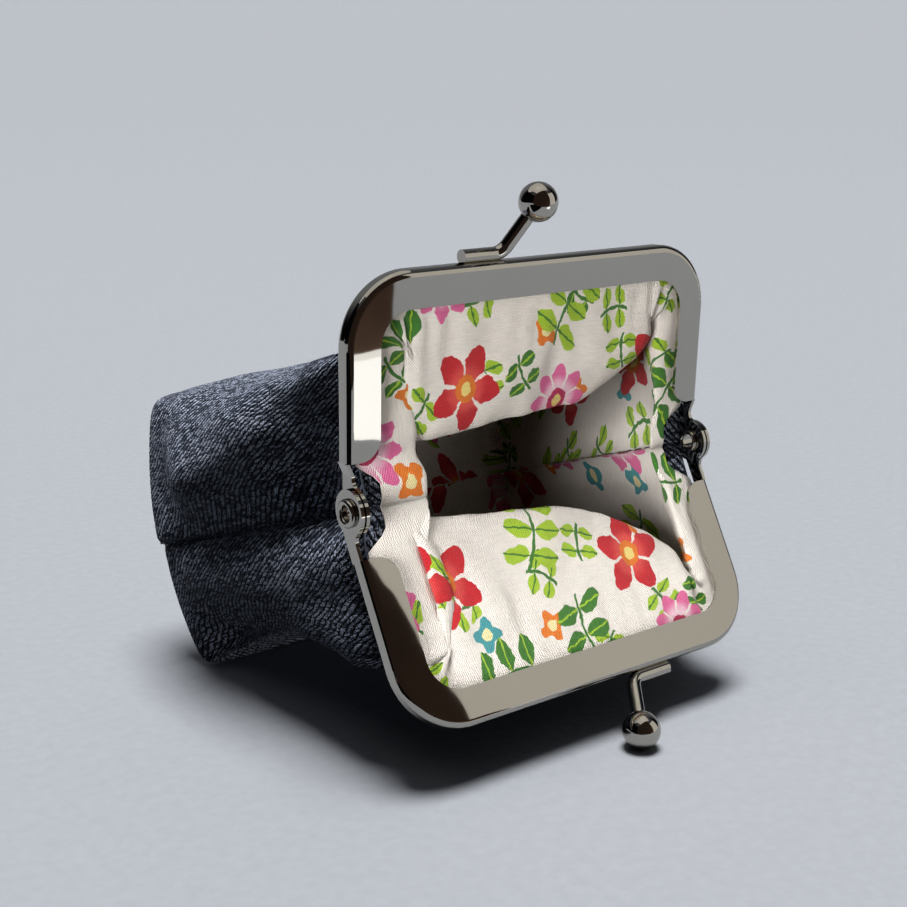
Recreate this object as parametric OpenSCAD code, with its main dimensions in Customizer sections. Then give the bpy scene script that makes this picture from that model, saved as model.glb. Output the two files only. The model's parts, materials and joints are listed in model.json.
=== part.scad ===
// Kiss-lock coin purse, lying open on its side.
// Two nickel-plated channel half frames turn on hollow rivets. Each grips the
// edge of a lined, boxed-bottom fabric bag with a paper cord, and each carries
// one ball of the crossed clasp.
//
// The bag is drawn along its own axis: X along the hinge, Y from the hinge to
// the base, Z across the bag. A half frame is drawn in its own plane: X along
// the hinge, Y outwards through the channel, Z from the hinge to the top bar.
// The whole purse is then tipped until the lower ball and the lower edge of the
// base rest on Z = 0.

/* [Frame] */
// Width of the frame over its side bars
frame_w = 85; // [70:1:110]
// Height of a half frame, from the hinge axis to the outside of its top bar
frame_h = 41; // [36:0.5:55]
// Depth of the channel, from its outer edge to the edge of its flanges
flange_d = 6.8; // [5.8:0.1:8]
// Outside radius of the two corners
corner_r = 13; // [10:0.5:16]
// Thickness of the sheet metal
sheet_t = 0.7; // [0.5:0.05:0.9]
// Radius along the outside edges of the channel
edge_r = 1.3; // [1:0.1:1.6]
// Distance from the hinge axis to the ends of the flanges
flange_start = 8.5; // [8:0.5:12]
// Radius on the inner corners of the flange ends
flange_end_r = 4; // [2:0.5:4.5]
// Gap between the two closing faces when the purse is shut
closing_gap = 0.4; // [0.2:0.1:1]

/* [Hinge] */
// Radius of the round hinge ears
ear_r = 4.2; // [3.8:0.1:4.6]
// Space between the ears that lie on each other
ear_gap = 0.35; // [0.2:0.05:0.6]
// Radius of the hollow where an ear runs into its strip
ear_fillet_r = 2; // [1:0.5:2.5]
// How much narrower the strip above an ear is than the channel, on each side
strip_inset = 0.5; // [0.3:0.1:0.8]
// Diameter of the rivet's shank
rivet_d = 3.6; // [3.4:0.1:4.2]
// Diameter of the rivet's hollow
rivet_bore_d = 2.8; // [2:0.1:2.9]
// Diameter over the rivet's rolled rim, outside
rivet_rim_d = 5.2; // [5:0.1:6]
// Diameter over the rivet's rolled rim, inside
rivet_tail_d = 4.6; // [4.5:0.1:5]
// Radial play of the ears on the rivet
hinge_play = 0.06; // [0.03:0.01:0.1]

/* [Clasp] */
// Diameter of the balls
ball_d = 7.2; // [6:0.1:9]
// Least space between the balls as they pass each other
ball_pass = 0.4; // [0.2:0.1:1]
// Height of a ball's centre over the bar
ball_rise = 10.3; // [8:0.1:13]
// How far a ball leans across the closing plane
ball_lean = 1.75; // [0.5:0.05:3]
// Diameter of the stem wire
wire_d = 2.6; // [2:0.1:3]
// Length of the stem's foot, free end to the bend
foot_l = 8.9; // [6:0.1:12]
// Distance along the bar from the ball to the bend
stem_run = 5; // [3:0.1:8]
// Bend radius of the stem
stem_bend_r = 3; // [2:0.5:4]
// Depth of the flat on the underside of the foot
foot_flat = 0.2; // [0.1:0.05:0.4]
// How far the stem enters the ball
stem_seat = 2.2; // [1.5:0.1:3]
// Clearance of the stem in the ball
stem_play = 0.05; // [0.02:0.01:0.1]

/* [Fabric] */
// Thickness of the outer twill
outer_t = 0.7; // [0.5:0.05:1]
// Thickness of the fleece between the layers
fleece_t = 0.8; // [0.5:0.1:1.2]
// Thickness of the cotton lining
lining_t = 0.4; // [0.3:0.05:0.6]
// Slack between the fleece and the lining
lining_slack = 0.55; // [0.4:0.05:1.5]
// Diameter of the paper cord in the channel
cord_d = 0.9; // [0.6:0.05:1.2]
// Play between the layers in the channel
layer_play = 0.1; // [0.05:0.01:0.2]
// Depth to which the fabric is tucked into the channel
tuck_d = 4; // [3:0.1:4.5]
// Gap between the panels along a seam
seam_gap = 0.6; // [0.5:0.05:1]
// Diameter of the sewing thread
thread_d = 0.36; // [0.25:0.01:0.4]
// Length of a stitch
stitch_l = 2.2; // [1.5:0.1:3]
// Distance from stitch to stitch
stitch_pitch = 2.8; // [2.4:0.1:4]

/* [Bag] */
// Width of the boxed base
base_w = 88; // [76:1:110]
// Height of the upper half of the base, seam to edge
base_up = 30.5; // [24:0.5:34]
// Height of the lower half of the base, seam to edge
base_down = 27; // [22:0.5:34]
// Length of the bag, from the hinge axis to the edges of its base
bag_l = 67.5; // [55:0.5:90]
// How far the middle of the base swells out
base_swell = 3.5; // [1:0.5:6]
// How far the upper side walls swell out at the seam
side_swell_up = 3.5; // [1:0.1:5]
// How far the lower side walls swell out at the seam
side_swell_down = 2.3; // [1:0.1:5]
// How far the lower wall is pushed up between the frame and the base
lower_sag = 8; // [0:0.5:9]
// How much more the lower lining is pushed up than the outer fabric
lining_sag = 0.6; // [0.4:0.1:1.2]
// Width of the bag just behind the frame
neck_w = 86; // [80:1:92]
// Distance behind the hinge axis of the bag's neck
neck_b = 9; // [7:0.5:12]
// Curve handle of the walls behind the neck
neck_handle = 16; // [10:1:22]
// Curve handle of the walls in front of the base
base_handle = 20; // [12:1:26]

/* [Mouth] */
// Angle from the bag's axis to the upper half frame
upper_angle = 110.7; // [95:0.1:130]
// Angle from the bag's axis to the lower half frame
lower_angle = 100.1; // [95:0.1:115]
// Curve handle that hangs the lining's upper lip from its bar
upper_lip = 42; // [30:1:46]
// Curve handle that stands the lining's lower lip on its bar
lower_lip = 42; // [30:1:50]
// Curve handle that hangs the outer fabric from both bars
outer_lip = 30; // [20:1:34]
// Curve handle that rolls the lining in along the side bars
side_roll = 22; // [8:1:26]
// Curve handle that leads the outer fabric in from the side bars
outer_roll = 6; // [5:0.5:8]
// How far that handle is set back from the channel
outer_back = 4; // [3:0.5:5]
// How far the lining is cut back from the frame beside the hinges
lining_trim = 3; // [1:0.5:4]
// Share of the bar over which the lips deepen at their left end
lip_left = 0.02; // [0:0.01:0.3]
// Share of the bar over which the lips deepen at their right end
lip_right = 0.32; // [0.02:0.01:0.4]
// Height of the lining over the seam in the upper neck
upper_neck = 19.5; // [15:0.5:21]
// Depth of the lining under the seam in the lower neck
lower_neck = 12.8; // [11:0.2:14]
// How much higher the upper neck is at its right end than in its middle
upper_lean = 3; // [0:0.5:4]
// How much deeper the lower neck is at its right end than in its middle
lower_lean = 9; // [0:0.5:10]
// Height of the upper neck at its corners, as a share of the frame's height
upper_corner = 0.93; // [0.88:0.01:0.98]
// Depth of the lower neck at its corners, as a share of the frame's height
lower_corner = 0.88; // [0.86:0.01:0.95]
// Distance between the outer fabric and the lining in the neck
neck_layer = 4.5; // [4:0.5:7]

/* [Hidden] */
$fn = 64;

// Colours of the finishes
NICKEL = "silver";
TWILL = "#2b2f3c";
COTTON = "#efe4dc";
FLEECE = "whitesmoke";
PAPER = "burlywood";

// The channel is as thick as the layers that it holds
face_n = closing_gap / 2;
cord_n = face_n + sheet_t + layer_play + cord_d / 2;
lining_n = cord_n + cord_d / 2 + layer_play + lining_t / 2;
outer_n = lining_n + lining_t / 2 + layer_play + outer_t / 2;
channel_t = outer_n + outer_t / 2 + layer_play + sheet_t - face_n;

// Inner edge of the flanges, where the fabric leaves the channel
rim_x = frame_w / 2 - flange_d;
rim_r = corner_r - flange_d;
corner_x = frame_w / 2 - corner_r;
leg_h = frame_h - corner_r;
rim_h = leg_h + rim_r;
leg_l = leg_h;
arc_l = rim_r * PI / 2;
bar_l = 2 * corner_x;
rim_l = 2 * leg_l + 2 * arc_l + bar_l;

// Clasp places in a half frame
ball_x = (ball_d + ball_pass) / 2;
bend_x = ball_x + stem_run;
foot_n = face_n + channel_t / 2;
foot_h = frame_h + wire_d / 2 - foot_flat;
ball_h = frame_h + ball_rise;

// The purse tips about the hinge until its lower ball and the lower edge of its
// base stand on one level
ball_b = ball_h * cos(lower_angle) - ball_lean * sin(lower_angle);
ball_w = -(ball_h * sin(lower_angle) + ball_lean * cos(lower_angle));
base_skin = outer_t / 2 * sqrt(1 / 2);
base_b = bag_l + base_skin;
base_w_low = -base_down - base_skin;
tilt = asin(ball_d / 2 / norm([base_b - ball_b, ball_w - base_w_low]))
    - atan2(ball_w - base_w_low, base_b - ball_b);
hinge_z = base_b * sin(tilt) - base_w_low * cos(tilt);

// Rows and columns of the fabric grids
LEG_COLS = 6;
ARC_COLS = 3;
BAR_COLS = 8;
LONG_COLS = 2 * ARC_COLS + BAR_COLS;
COLS = 2 * LEG_COLS + LONG_COLS;
LIP_ROWS = 6;
WALL_ROWS = 5;
ROWS = 1 + LIP_ROWS + WALL_ROWS;
// Sharpness of the bag's corner edges
CORNER_POWER = 14;
// Seam columns bend onto the seam within this height of the hinge
SEAM_BLEND = 7;
// Hem of the lining beside the hinges, where no channel holds it
HINGE_HEM = 0.6;
// Distance over which the cut-back lining returns to the channel
TRIM_RUN = 5;
// How much deeper the lining lies at the neck's corners, in times its inset
CORNER_CUT = 2.2;
// First row of the fleece, which is trimmed clear of the channel
FLEECE_ROW = 7;
// First row of the side seams, just behind the hinge
SEAM_ROW = 5;

// Shape of each layer of fabric: [n in the channel, inset from the outer skin,
// lip handle at the bar, lip handle at the corner, roll at the hinge, share of
// the roll lost at the corner, set back at the legs, set back at the bar,
// half width of the neck, height of the neck, base height, side swell, sag,
// share of the bar where the lip deepens, left and right, lean of the neck,
// where the lean starts, height of the neck's corners, trim at the hinges]
layer_in = outer_t / 2 + layer_play + fleece_t + lining_slack + lining_t / 2;
neck_in = neck_layer + 0.5;
UPPER_OUTER = [outer_n, 0, outer_lip, 4, outer_roll, 0, outer_back, 3, neck_w / 2,
    upper_neck + neck_layer, base_up, side_swell_up, 0, lip_right, lip_right, upper_lean, 0, upper_corner, 0];
LOWER_OUTER = [outer_n, 0, outer_lip, 4, outer_roll, 0, outer_back, 3, neck_w / 2,
    lower_neck + neck_layer, base_down, side_swell_down, lower_sag, lip_right, lip_right,
    lower_lean, 0, lower_corner, 0];
UPPER_LINING = [lining_n, layer_in, upper_lip, 10, side_roll, 0.45, -1, -1, neck_w / 2 - neck_in,
    upper_neck, base_up, side_swell_up, 0, lip_left, lip_right, upper_lean, -1, upper_corner, lining_trim];
LOWER_LINING = [lining_n, layer_in, lower_lip, 10, side_roll, 0.45, -1, -1, neck_w / 2 - neck_in,
    lower_neck, base_down, side_swell_down, lower_sag + lining_sag, lip_left, lip_right,
    lower_lean, -1, lower_corner, lining_trim];

function smooth(a, b, v) = let (t = min(max((v - a) / (b - a), 0), 1)) t * t * (3 - 2 * t);
function bezier(a, b, c, d, t) =
    pow(1 - t, 3) * a + 3 * t * pow(1 - t, 2) * b + 3 * t * t * (1 - t) * c + pow(t, 3) * d;

// Point of the rim at a distance d from the left hinge: [x, h, inward x, inward h]
function rim(d) =
    d > rim_l / 2 ? let (r = rim(rim_l - d)) [-r[0], r[1], -r[2], r[3]]
    : d <= leg_l ? [-rim_x, d, 1, 0]
    : d <= leg_l + arc_l ? let (a = (d - leg_l) / arc_l * 90)
        [-corner_x - rim_r * cos(a), leg_h + rim_r * sin(a), cos(a), -sin(a)]
    : [-corner_x + d - leg_l - arc_l, rim_h, 0, -1];

// Point of the base's outline that belongs to d: [x, height over the seam]
function base_ring(d, half_w, height) =
    d > rim_l / 2 ? let (r = base_ring(rim_l - d, half_w, height)) [-r[0], r[1]]
    : let (
        x = d <= leg_l ? -half_w : -half_w * (1 - (d - leg_l) / (rim_l / 2 - leg_l)),
        w = d <= leg_l ? height * d / leg_l : height,
        k = pow(pow(abs(x) / half_w, CORNER_POWER) + pow(w / height, CORNER_POWER), -1 / CORNER_POWER)
    ) [x * k, w * k];

// Distance along the rim of a column of the grid
function col_d(i) =
    i > COLS / 2 ? rim_l - col_d(COLS - i)
    : i <= LEG_COLS ? leg_l * i / LEG_COLS
    : i <= LEG_COLS + ARC_COLS ? leg_l + arc_l * (i - LEG_COLS) / ARC_COLS
    : leg_l + arc_l + bar_l * (i - LEG_COLS - ARC_COLS) / BAR_COLS;

// Point of a half frame's plane in the bag's axes
function in_half(x, h, n, angle) =
    [x, h * cos(angle) + n * sin(angle), h * sin(angle) - n * cos(angle)];

// One column of a panel, from the channel over the lip and along the wall
function column(d, angle, p) =
    let (
        r = rim(d),
        from_end = min(d, rim_l - d),
        side = 1 - smooth(leg_l * 0.85, leg_l + arc_l * 0.7, from_end),
        deepen = d < rim_l / 2 ? p[13] : p[14],
        mid = smooth(leg_l * 0.9, leg_l + arc_l + bar_l * deepen, from_end),
        height = p[10] - p[1],
        ring = base_ring(d, base_w / 2 - p[1], height),
        swell = 1 - pow(ring[1] / height, 2),
        foot = [ring[0] + sign(r[0]) * p[11] * side * swell, bag_l - p[1] + base_swell * swell, ring[1]],
        lip = side * p[4] * (1 - p[5] * smooth(0, leg_l, r[1])) + (1 - side) * (p[3] + (p[2] - p[3]) * mid),
        back = side * p[6] + (1 - side) * p[7],
        free = p[18] == 0 ? 0 : 1 - smooth(flange_start + 1 - TRIM_RUN, flange_start + 1, r[1]),
        cut = p[18] * free * side,
        held = cut - tuck_d * (1 - free) - HINGE_HEM * free,
        start = in_half(r[0] + r[2] * cut, r[1] + r[3] * cut, p[0], angle),
        tucked = in_half(r[0] + r[2] * held, r[1] + r[3] * held, p[0], angle),
        curl = in_half(r[0] + r[2] * (cut + lip), r[1] + r[3] * (cut + lip), p[0] + back, angle),
        corner_h = start.z * p[17] - p[1] * CORNER_CUT,
        neck_mid = p[9] + p[15] * max(r[0] / rim_x, p[16]),
        neck_h = side * start.z + (1 - side) * ((1 - mid) * corner_h + mid * neck_mid),
        neck = [side * sign(r[0]) * p[8] + (1 - side) * r[0] * p[8] / rim_x, neck_b, max(neck_h, 0)],
        along = (foot - neck) / norm(foot - neck),
        sag = [0, 0, p[12] * pow(ring[1] / height, 2)],
        raw = concat(
            [tucked],
            [for (k = [0 : LIP_ROWS]) bezier(start, curl, neck - along * neck_b * 0.8, neck, k / LIP_ROWS)],
            [for (k = [1 : WALL_ROWS]) bezier(
                neck, neck + along * neck_handle - sag, foot - [0, base_handle, 0] - sag, foot, k / WALL_ROWS)]
        ),
        seam = 1 - smooth(0, SEAM_BLEND, r[1])
    )
    [for (q = raw) [q.x, q.y, max(q.z * (1 - seam) + seam * seam_gap / 2, seam_gap / 2)]];

// Grid points of a panel, and the points inside its half of the base
function wall_grid(angle, p) = [for (i = [0 : COLS]) column(col_d(i), angle, p)];
function base_point(wall, i, k) =
    i == 0 ? wall[k][ROWS] : i == LONG_COLS ? wall[COLS - k][ROWS] : k == LEG_COLS ? wall[LEG_COLS + i][ROWS]
    : [wall[LEG_COLS + i][ROWS].x, wall[k][ROWS].y, wall[k][ROWS].z];
function wall_index(i, j) = i * (ROWS + 1) + j;
function base_index(i, k) =
    i == 0 ? wall_index(k, ROWS) : i == LONG_COLS ? wall_index(COLS - k, ROWS)
    : k == LEG_COLS ? wall_index(LEG_COLS + i, ROWS)
    : (COLS + 1) * (ROWS + 1) + (i - 1) * LEG_COLS + k;

// Outward direction of the fabric at a grid point
function unit(v) = v / norm(v);
function wall_normal(wall, i, j) =
    let (
        across = wall[min(i + 1, COLS)][j] - wall[max(i - 1, 0)][j],
        down = wall[i][min(j + 1, ROWS)] - wall[i][max(j - 1, 0)],
        n = unit(cross(across, down)),
        edge = j == ROWS ? unit(n + [0, 1, 0]) : n
    ) i == 0 || i == COLS ? unit([edge.x, edge.y, 0]) : edge;

// Skin of a panel at a distance from the middle of its cloth, from a first row on
function skin(wall, off) = concat(
    [for (i = [0 : COLS]) for (j = [0 : ROWS]) wall[i][j] + off * wall_normal(wall, i, j)],
    [for (i = [1 : LONG_COLS - 1]) for (k = [0 : LEG_COLS - 1]) base_point(wall, i, k) + [0, off, 0]]
);
function skin_faces(first) = concat(
    [for (i = [0 : COLS - 1]) for (j = [first : ROWS - 1]) each [
        [wall_index(i, j), wall_index(i + 1, j + 1), wall_index(i + 1, j)],
        [wall_index(i, j), wall_index(i, j + 1), wall_index(i + 1, j + 1)]]],
    [for (i = [0 : LONG_COLS - 1]) for (k = [0 : LEG_COLS - 1]) each [
        [base_index(i, k + 1), base_index(i + 1, k), base_index(i + 1, k + 1)],
        [base_index(i, k + 1), base_index(i, k), base_index(i + 1, k)]]]
);
// The open edge of a skin, in order round it
function skin_border(first) = concat(
    [for (i = [0 : COLS - 1]) wall_index(i, first)],
    [for (j = [first : ROWS - 1]) wall_index(COLS, j)],
    [for (i = [LONG_COLS : -1 : 1]) base_index(i, 0)],
    [for (j = [ROWS : -1 : first + 1]) wall_index(0, j)]
);

// A sheet of cloth between two skins of the same grid
module cloth(wall, off_out, off_in, first = 0) {
    outer_skin = skin(wall, off_out);
    inner_skin = skin(wall, off_in);
    count = len(outer_skin);
    faces = skin_faces(first);
    rim_loop = skin_border(first);
    last = len(rim_loop);
    polyhedron(
        points = concat(outer_skin, inner_skin),
        faces = concat(
            faces,
            [for (f = faces) [f[2] + count, f[1] + count, f[0] + count]],
            [for (i = [0 : last - 1]) let (a = rim_loop[i], b = rim_loop[(i + 1) % last]) each [
                [a, b, a + count], [b, b + count, a + count]]]
        ),
        convexity = 10
    );
}

upper_outer_grid = wall_grid(upper_angle, UPPER_OUTER);
lower_outer_grid = wall_grid(lower_angle, LOWER_OUTER);
upper_lining_grid = wall_grid(upper_angle, UPPER_LINING);
lower_lining_grid = wall_grid(lower_angle, LOWER_LINING);

// The purse is centred between its lower ball and the back of its base
front_y = ball_b * cos(tilt) + ball_w * sin(tilt) - ball_d / 2;
back_y = max([for (q = skin(upper_outer_grid, outer_t / 2)) q.y * cos(tilt) + q.z * sin(tilt)]);
hinge_y = -(front_y + back_y) / 2;
echo(hinge_y = hinge_y, hinge_z = hinge_z, tilt = tilt, channel_t = channel_t);

// Places of the bag and of the two half frames
module lying() {
    translate([0, hinge_y, hinge_z]) rotate([-tilt, 0, 0]) children();
}
module in_upper_half() {
    lying() rotate([upper_angle - 90, 0, 0]) children();
}
module in_lower_half() {
    lying() mirror([0, 0, 1]) rotate([lower_angle - 90, 0, 0]) children();
}
module upper_side() {
    lying() children();
}
module lower_side() {
    lying() mirror([0, 0, 1]) children();
}
module both_sides() {
    children();
    mirror([1, 0, 0]) children();
}

// Section of the channel: X from the outer edge inwards, Y through the channel
module rounded_channel(inset, r) {
    translate([inset + r, face_n + inset]) square([flange_d - r, channel_t - 2 * inset]);
    translate([inset, face_n + inset + r]) square([flange_d, channel_t - 2 * inset - 2 * r]);
    for (n = [face_n + inset + r, face_n + channel_t - inset - r]) {
        translate([inset + r, n]) circle(r);
    }
}
module channel_section() {
    intersection() {
        difference() {
            rounded_channel(0, edge_r);
            rounded_channel(sheet_t, edge_r - sheet_t / 2);
        }
        translate([0, face_n]) square([flange_d, channel_t]);
    }
}

// Side bar with the rounded ends of its two flanges
module side_bar() {
    difference() {
        translate([-frame_w / 2, 0, flange_start]) linear_extrude(leg_h - flange_start) channel_section();
        difference() {
            translate([-rim_x - flange_end_r, 0, flange_start])
                cube([flange_end_r * 2, channel_t * 2, flange_end_r]);
            translate([-rim_x - flange_end_r, -1, flange_start + flange_end_r])
                rotate([-90, 0, 0]) cylinder(r = flange_end_r, h = channel_t * 2 + 2);
        }
    }
}
module corner_bend() {
    translate([-corner_x, 0, leg_h]) rotate([-90, 0, 0]) rotate([0, 0, 180]) rotate_extrude(angle = 90)
        translate([corner_r, 0]) mirror([1, 0]) channel_section();
}
module top_bar() {
    translate([-corner_x, 0, frame_h]) rotate([0, 90, 0]) linear_extrude(bar_l) channel_section();
}

// Ear in its own plane: X outwards through the channel, Y from the hinge upwards
strip_lo = face_n + strip_inset;
strip_hi = face_n + channel_t - strip_inset;
near_c = strip_lo - ear_fillet_r;
near_h = sqrt(pow(ear_r + ear_fillet_r, 2) - pow(near_c, 2));
far_c = strip_hi + ear_fillet_r;
far_h = sqrt(pow(ear_r + ear_fillet_r, 2) - pow(far_c, 2));
module ear_outline(height) {
    difference() {
        union() {
            circle(ear_r);
            translate([strip_lo, 0]) square([strip_hi - strip_lo, height]);
            difference() {
                polygon([[0, 0], [strip_lo, 0], [strip_lo, near_h], [near_c, near_h]]);
                translate([near_c, near_h]) circle(ear_fillet_r);
            }
            difference() {
                polygon([[0, 0], [far_c, far_h], [strip_hi, far_h], [strip_hi, 0]]);
                translate([far_c, far_h]) circle(ear_fillet_r);
            }
        }
        circle(rivet_d / 2 + hinge_play);
    }
}
module flat_ear() {
    translate([-frame_w / 2, 0, 0]) rotate([90, 0, 90]) linear_extrude(sheet_t) ear_outline(flange_start);
}

// The upper ears lie inside the lower ones, so their strips are stepped inwards
step = sheet_t + ear_gap;
step_h = near_h + 0.1;
module stepped_ear() {
    x = -frame_w / 2;
    translate([x + step, 0, 0]) rotate([90, 0, 90]) linear_extrude(sheet_t) ear_outline(step_h);
    translate([0, strip_hi, 0]) rotate([90, 0, 0]) linear_extrude(strip_hi - strip_lo)
        polygon([
            [x, flange_start], [x + step, step_h], [x + step + sheet_t, step_h], [x + sheet_t, flange_start]
        ]);
}

module half_frame() {
    top_bar();
    both_sides() {
        side_bar();
        corner_bend();
        children();
    }
}
module upper_frame() {
    color(NICKEL) in_upper_half() half_frame() stepped_ear();
}
module lower_frame() {
    color(NICKEL) in_lower_half() half_frame() flat_ear();
}

// Hollow rivet on the hinge axis: a tube with a rolled rim at both ends
module hinge_rivet() {
    bore_r = rivet_bore_d / 2;
    rim_curl = (rivet_rim_d / 2 - bore_r) / 2;
    tail_curl = (rivet_tail_d / 2 - bore_r) / 2;
    grip = step + sheet_t + hinge_play;
    translate([-frame_w / 2, 0, 0]) rotate([0, 90, 0]) rotate_extrude() {
        translate([bore_r, -rim_curl / 2]) square([rivet_d / 2 - bore_r, grip + rim_curl / 2 + tail_curl / 2]);
        intersection() {
            translate([bore_r + rim_curl, -rim_curl / 2]) circle(rim_curl);
            translate([bore_r, -2 * rim_curl]) square(2 * rim_curl);
        }
        intersection() {
            translate([bore_r + tail_curl, grip + tail_curl / 2]) circle(tail_curl);
            translate([bore_r, grip]) square(2 * tail_curl);
        }
    }
}
module left_hinge_rivet() {
    color(NICKEL) lying() hinge_rivet();
}
module right_hinge_rivet() {
    color(NICKEL) lying() mirror([1, 0, 0]) hinge_rivet();
}

// Clasp on the left of a half frame. The stem is bent in one plane, which leans
// across the closing plane by lean.
rise = ball_h - foot_h;
over = foot_n + ball_lean;
lean = atan2(over, rise);
riser_l = norm([stem_run, norm([rise, over])]);
riser_angle = atan2(norm([rise, over]), stem_run);
bend_cut = stem_bend_r * tan(riser_angle / 2);
module in_stem_plane() {
    translate([-bend_x, foot_n, foot_h]) rotate([90 + lean, 0, 0]) children();
}
module riser(from, to, r) {
    rotate([0, 0, riser_angle]) translate([from, 0, 0]) rotate([0, 90, 0]) cylinder(r = r, h = to - from);
}
// The riser is a hair thinner than the bend and starts inside it
module clasp_stem() {
    difference() {
        in_stem_plane() {
            translate([-foot_l, 0, 0]) rotate([0, 90, 0]) cylinder(d = wire_d, h = foot_l - bend_cut);
            translate([-bend_cut, stem_bend_r, 0]) rotate([0, 0, -90]) rotate_extrude(angle = riser_angle)
                translate([stem_bend_r, 0]) circle(d = wire_d);
            riser(bend_cut - 0.1, riser_l - ball_d / 2 + stem_seat, wire_d / 2 - 0.01);
        }
        translate([-bend_x - foot_l - 1, foot_n - wire_d, frame_h - wire_d])
            cube([foot_l + bend_x, wire_d * 2, wire_d]);
    }
}
module clasp_ball() {
    difference() {
        translate([-ball_x, -ball_lean, ball_h]) sphere(d = ball_d);
        in_stem_plane() riser(bend_cut, riser_l - ball_d / 2 + stem_seat + stem_play, wire_d / 2 + stem_play);
    }
}
module upper_clasp_stem() {
    color(NICKEL) in_upper_half() clasp_stem();
}
module lower_clasp_stem() {
    color(NICKEL) in_lower_half() mirror([1, 0, 0]) clasp_stem();
}
module upper_clasp_ball() {
    color(NICKEL) in_upper_half() clasp_ball();
}
module lower_clasp_ball() {
    color(NICKEL) in_lower_half() mirror([1, 0, 0]) clasp_ball();
}

// Paper cord that wedges the fabric in the channel, halfway down the tuck
cord_in = tuck_d / 2;
module paper_cord() {
    both_sides() {
        translate([-rim_x - cord_in, cord_n, flange_start + flange_end_r])
            cylinder(d = cord_d, h = leg_h - flange_start - flange_end_r);
        translate([-corner_x, cord_n, leg_h]) rotate([-90, 0, 0]) rotate([0, 0, 180]) rotate_extrude(angle = 90)
            translate([rim_r + cord_in, 0]) circle(d = cord_d);
    }
    translate([-corner_x, cord_n, rim_h + cord_in]) rotate([0, 90, 0]) cylinder(d = cord_d, h = bar_l);
}
module upper_paper_cord() {
    color(PAPER) in_upper_half() paper_cord();
}
module lower_paper_cord() {
    color(PAPER) in_lower_half() paper_cord();
}

// The layers of the bag
module upper_outer_panel() {
    color(TWILL) upper_side() cloth(upper_outer_grid, outer_t / 2, -outer_t / 2);
}
module lower_outer_panel() {
    color(TWILL) lower_side() cloth(lower_outer_grid, outer_t / 2, -outer_t / 2);
}
fleece_out = -outer_t / 2 - layer_play;
module upper_fleece() {
    color(FLEECE) upper_side() cloth(upper_outer_grid, fleece_out, fleece_out - fleece_t, FLEECE_ROW);
}
module lower_fleece() {
    color(FLEECE) lower_side() cloth(lower_outer_grid, fleece_out, fleece_out - fleece_t, FLEECE_ROW);
}
module upper_lining() {
    color(COTTON) upper_side() cloth(upper_lining_grid, lining_t / 2, -lining_t / 2);
}
module lower_lining() {
    color(COTTON) lower_side() cloth(lower_lining_grid, lining_t / 2, -lining_t / 2);
}

// Stitches along a seam, which lies in the plane between the two panels
function path_l(path, upto) = upto == 0 ? 0 : path_l(path, upto - 1) + norm(path[upto] - path[upto - 1]);
function path_at(path, s, i = 1) =
    let (l = norm(path[i] - path[i - 1]))
    s <= l || i == len(path) - 1 ? path[i - 1] + (path[i] - path[i - 1]) * min(s / l, 1)
    : path_at(path, s - l, i + 1);
module stitches(path) {
    total = path_l(path, len(path) - 1);
    count = floor((total - stitch_l) / stitch_pitch);
    for (i = [0 : count]) {
        a = path_at(path, i * stitch_pitch);
        b = path_at(path, i * stitch_pitch + stitch_l);
        translate(a) rotate([0, 0, atan2(b.y - a.y, b.x - a.x)]) rotate([0, 90, 0])
            cylinder(d = thread_d, h = norm(b - a));
    }
}
function side_seam(wall) = [for (j = [SEAM_ROW : ROWS - 1]) [wall[0][j].x, wall[0][j].y, 0]];
function base_seam(wall) = [for (i = [1 : LONG_COLS - 1]) let (q = base_point(wall, i, 0)) [q.x, q.y, 0]];
// A side seam runs midway between the edges of the two panels
function mean_path(a, b) = [for (i = [0 : len(a) - 1]) (a[i] + b[i]) / 2];
outer_side_path = mean_path(side_seam(upper_outer_grid), side_seam(lower_outer_grid));
lining_side_path = mean_path(side_seam(upper_lining_grid), side_seam(lower_lining_grid));

module left_side_stitches() {
    color(TWILL) lying() stitches(outer_side_path);
}
module right_side_stitches() {
    color(TWILL) lying() mirror([1, 0, 0]) stitches(outer_side_path);
}
module base_stitches() {
    color(TWILL) lying() stitches(base_seam(upper_outer_grid));
}
module lining_left_stitches() {
    color(COTTON) lying() stitches(lining_side_path);
}
module lining_right_stitches() {
    color(COTTON) lying() mirror([1, 0, 0]) stitches(lining_side_path);
}
module lining_base_stitches() {
    color(COTTON) lying() stitches(base_seam(upper_lining_grid));
}

upper_frame();
lower_frame();
left_hinge_rivet();
right_hinge_rivet();
upper_clasp_stem();
lower_clasp_stem();
upper_clasp_ball();
lower_clasp_ball();
upper_paper_cord();
lower_paper_cord();
upper_outer_panel();
lower_outer_panel();
upper_fleece();
lower_fleece();
upper_lining();
lower_lining();
left_side_stitches();
right_side_stitches();
base_stitches();
lining_left_stitches();
lining_right_stitches();
lining_base_stitches();
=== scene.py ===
"""Looks for a lined coin purse with a kiss-lock frame, lying open on its side."""

import json
import math

import bpy
import numpy as np
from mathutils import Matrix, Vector, noise

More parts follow.
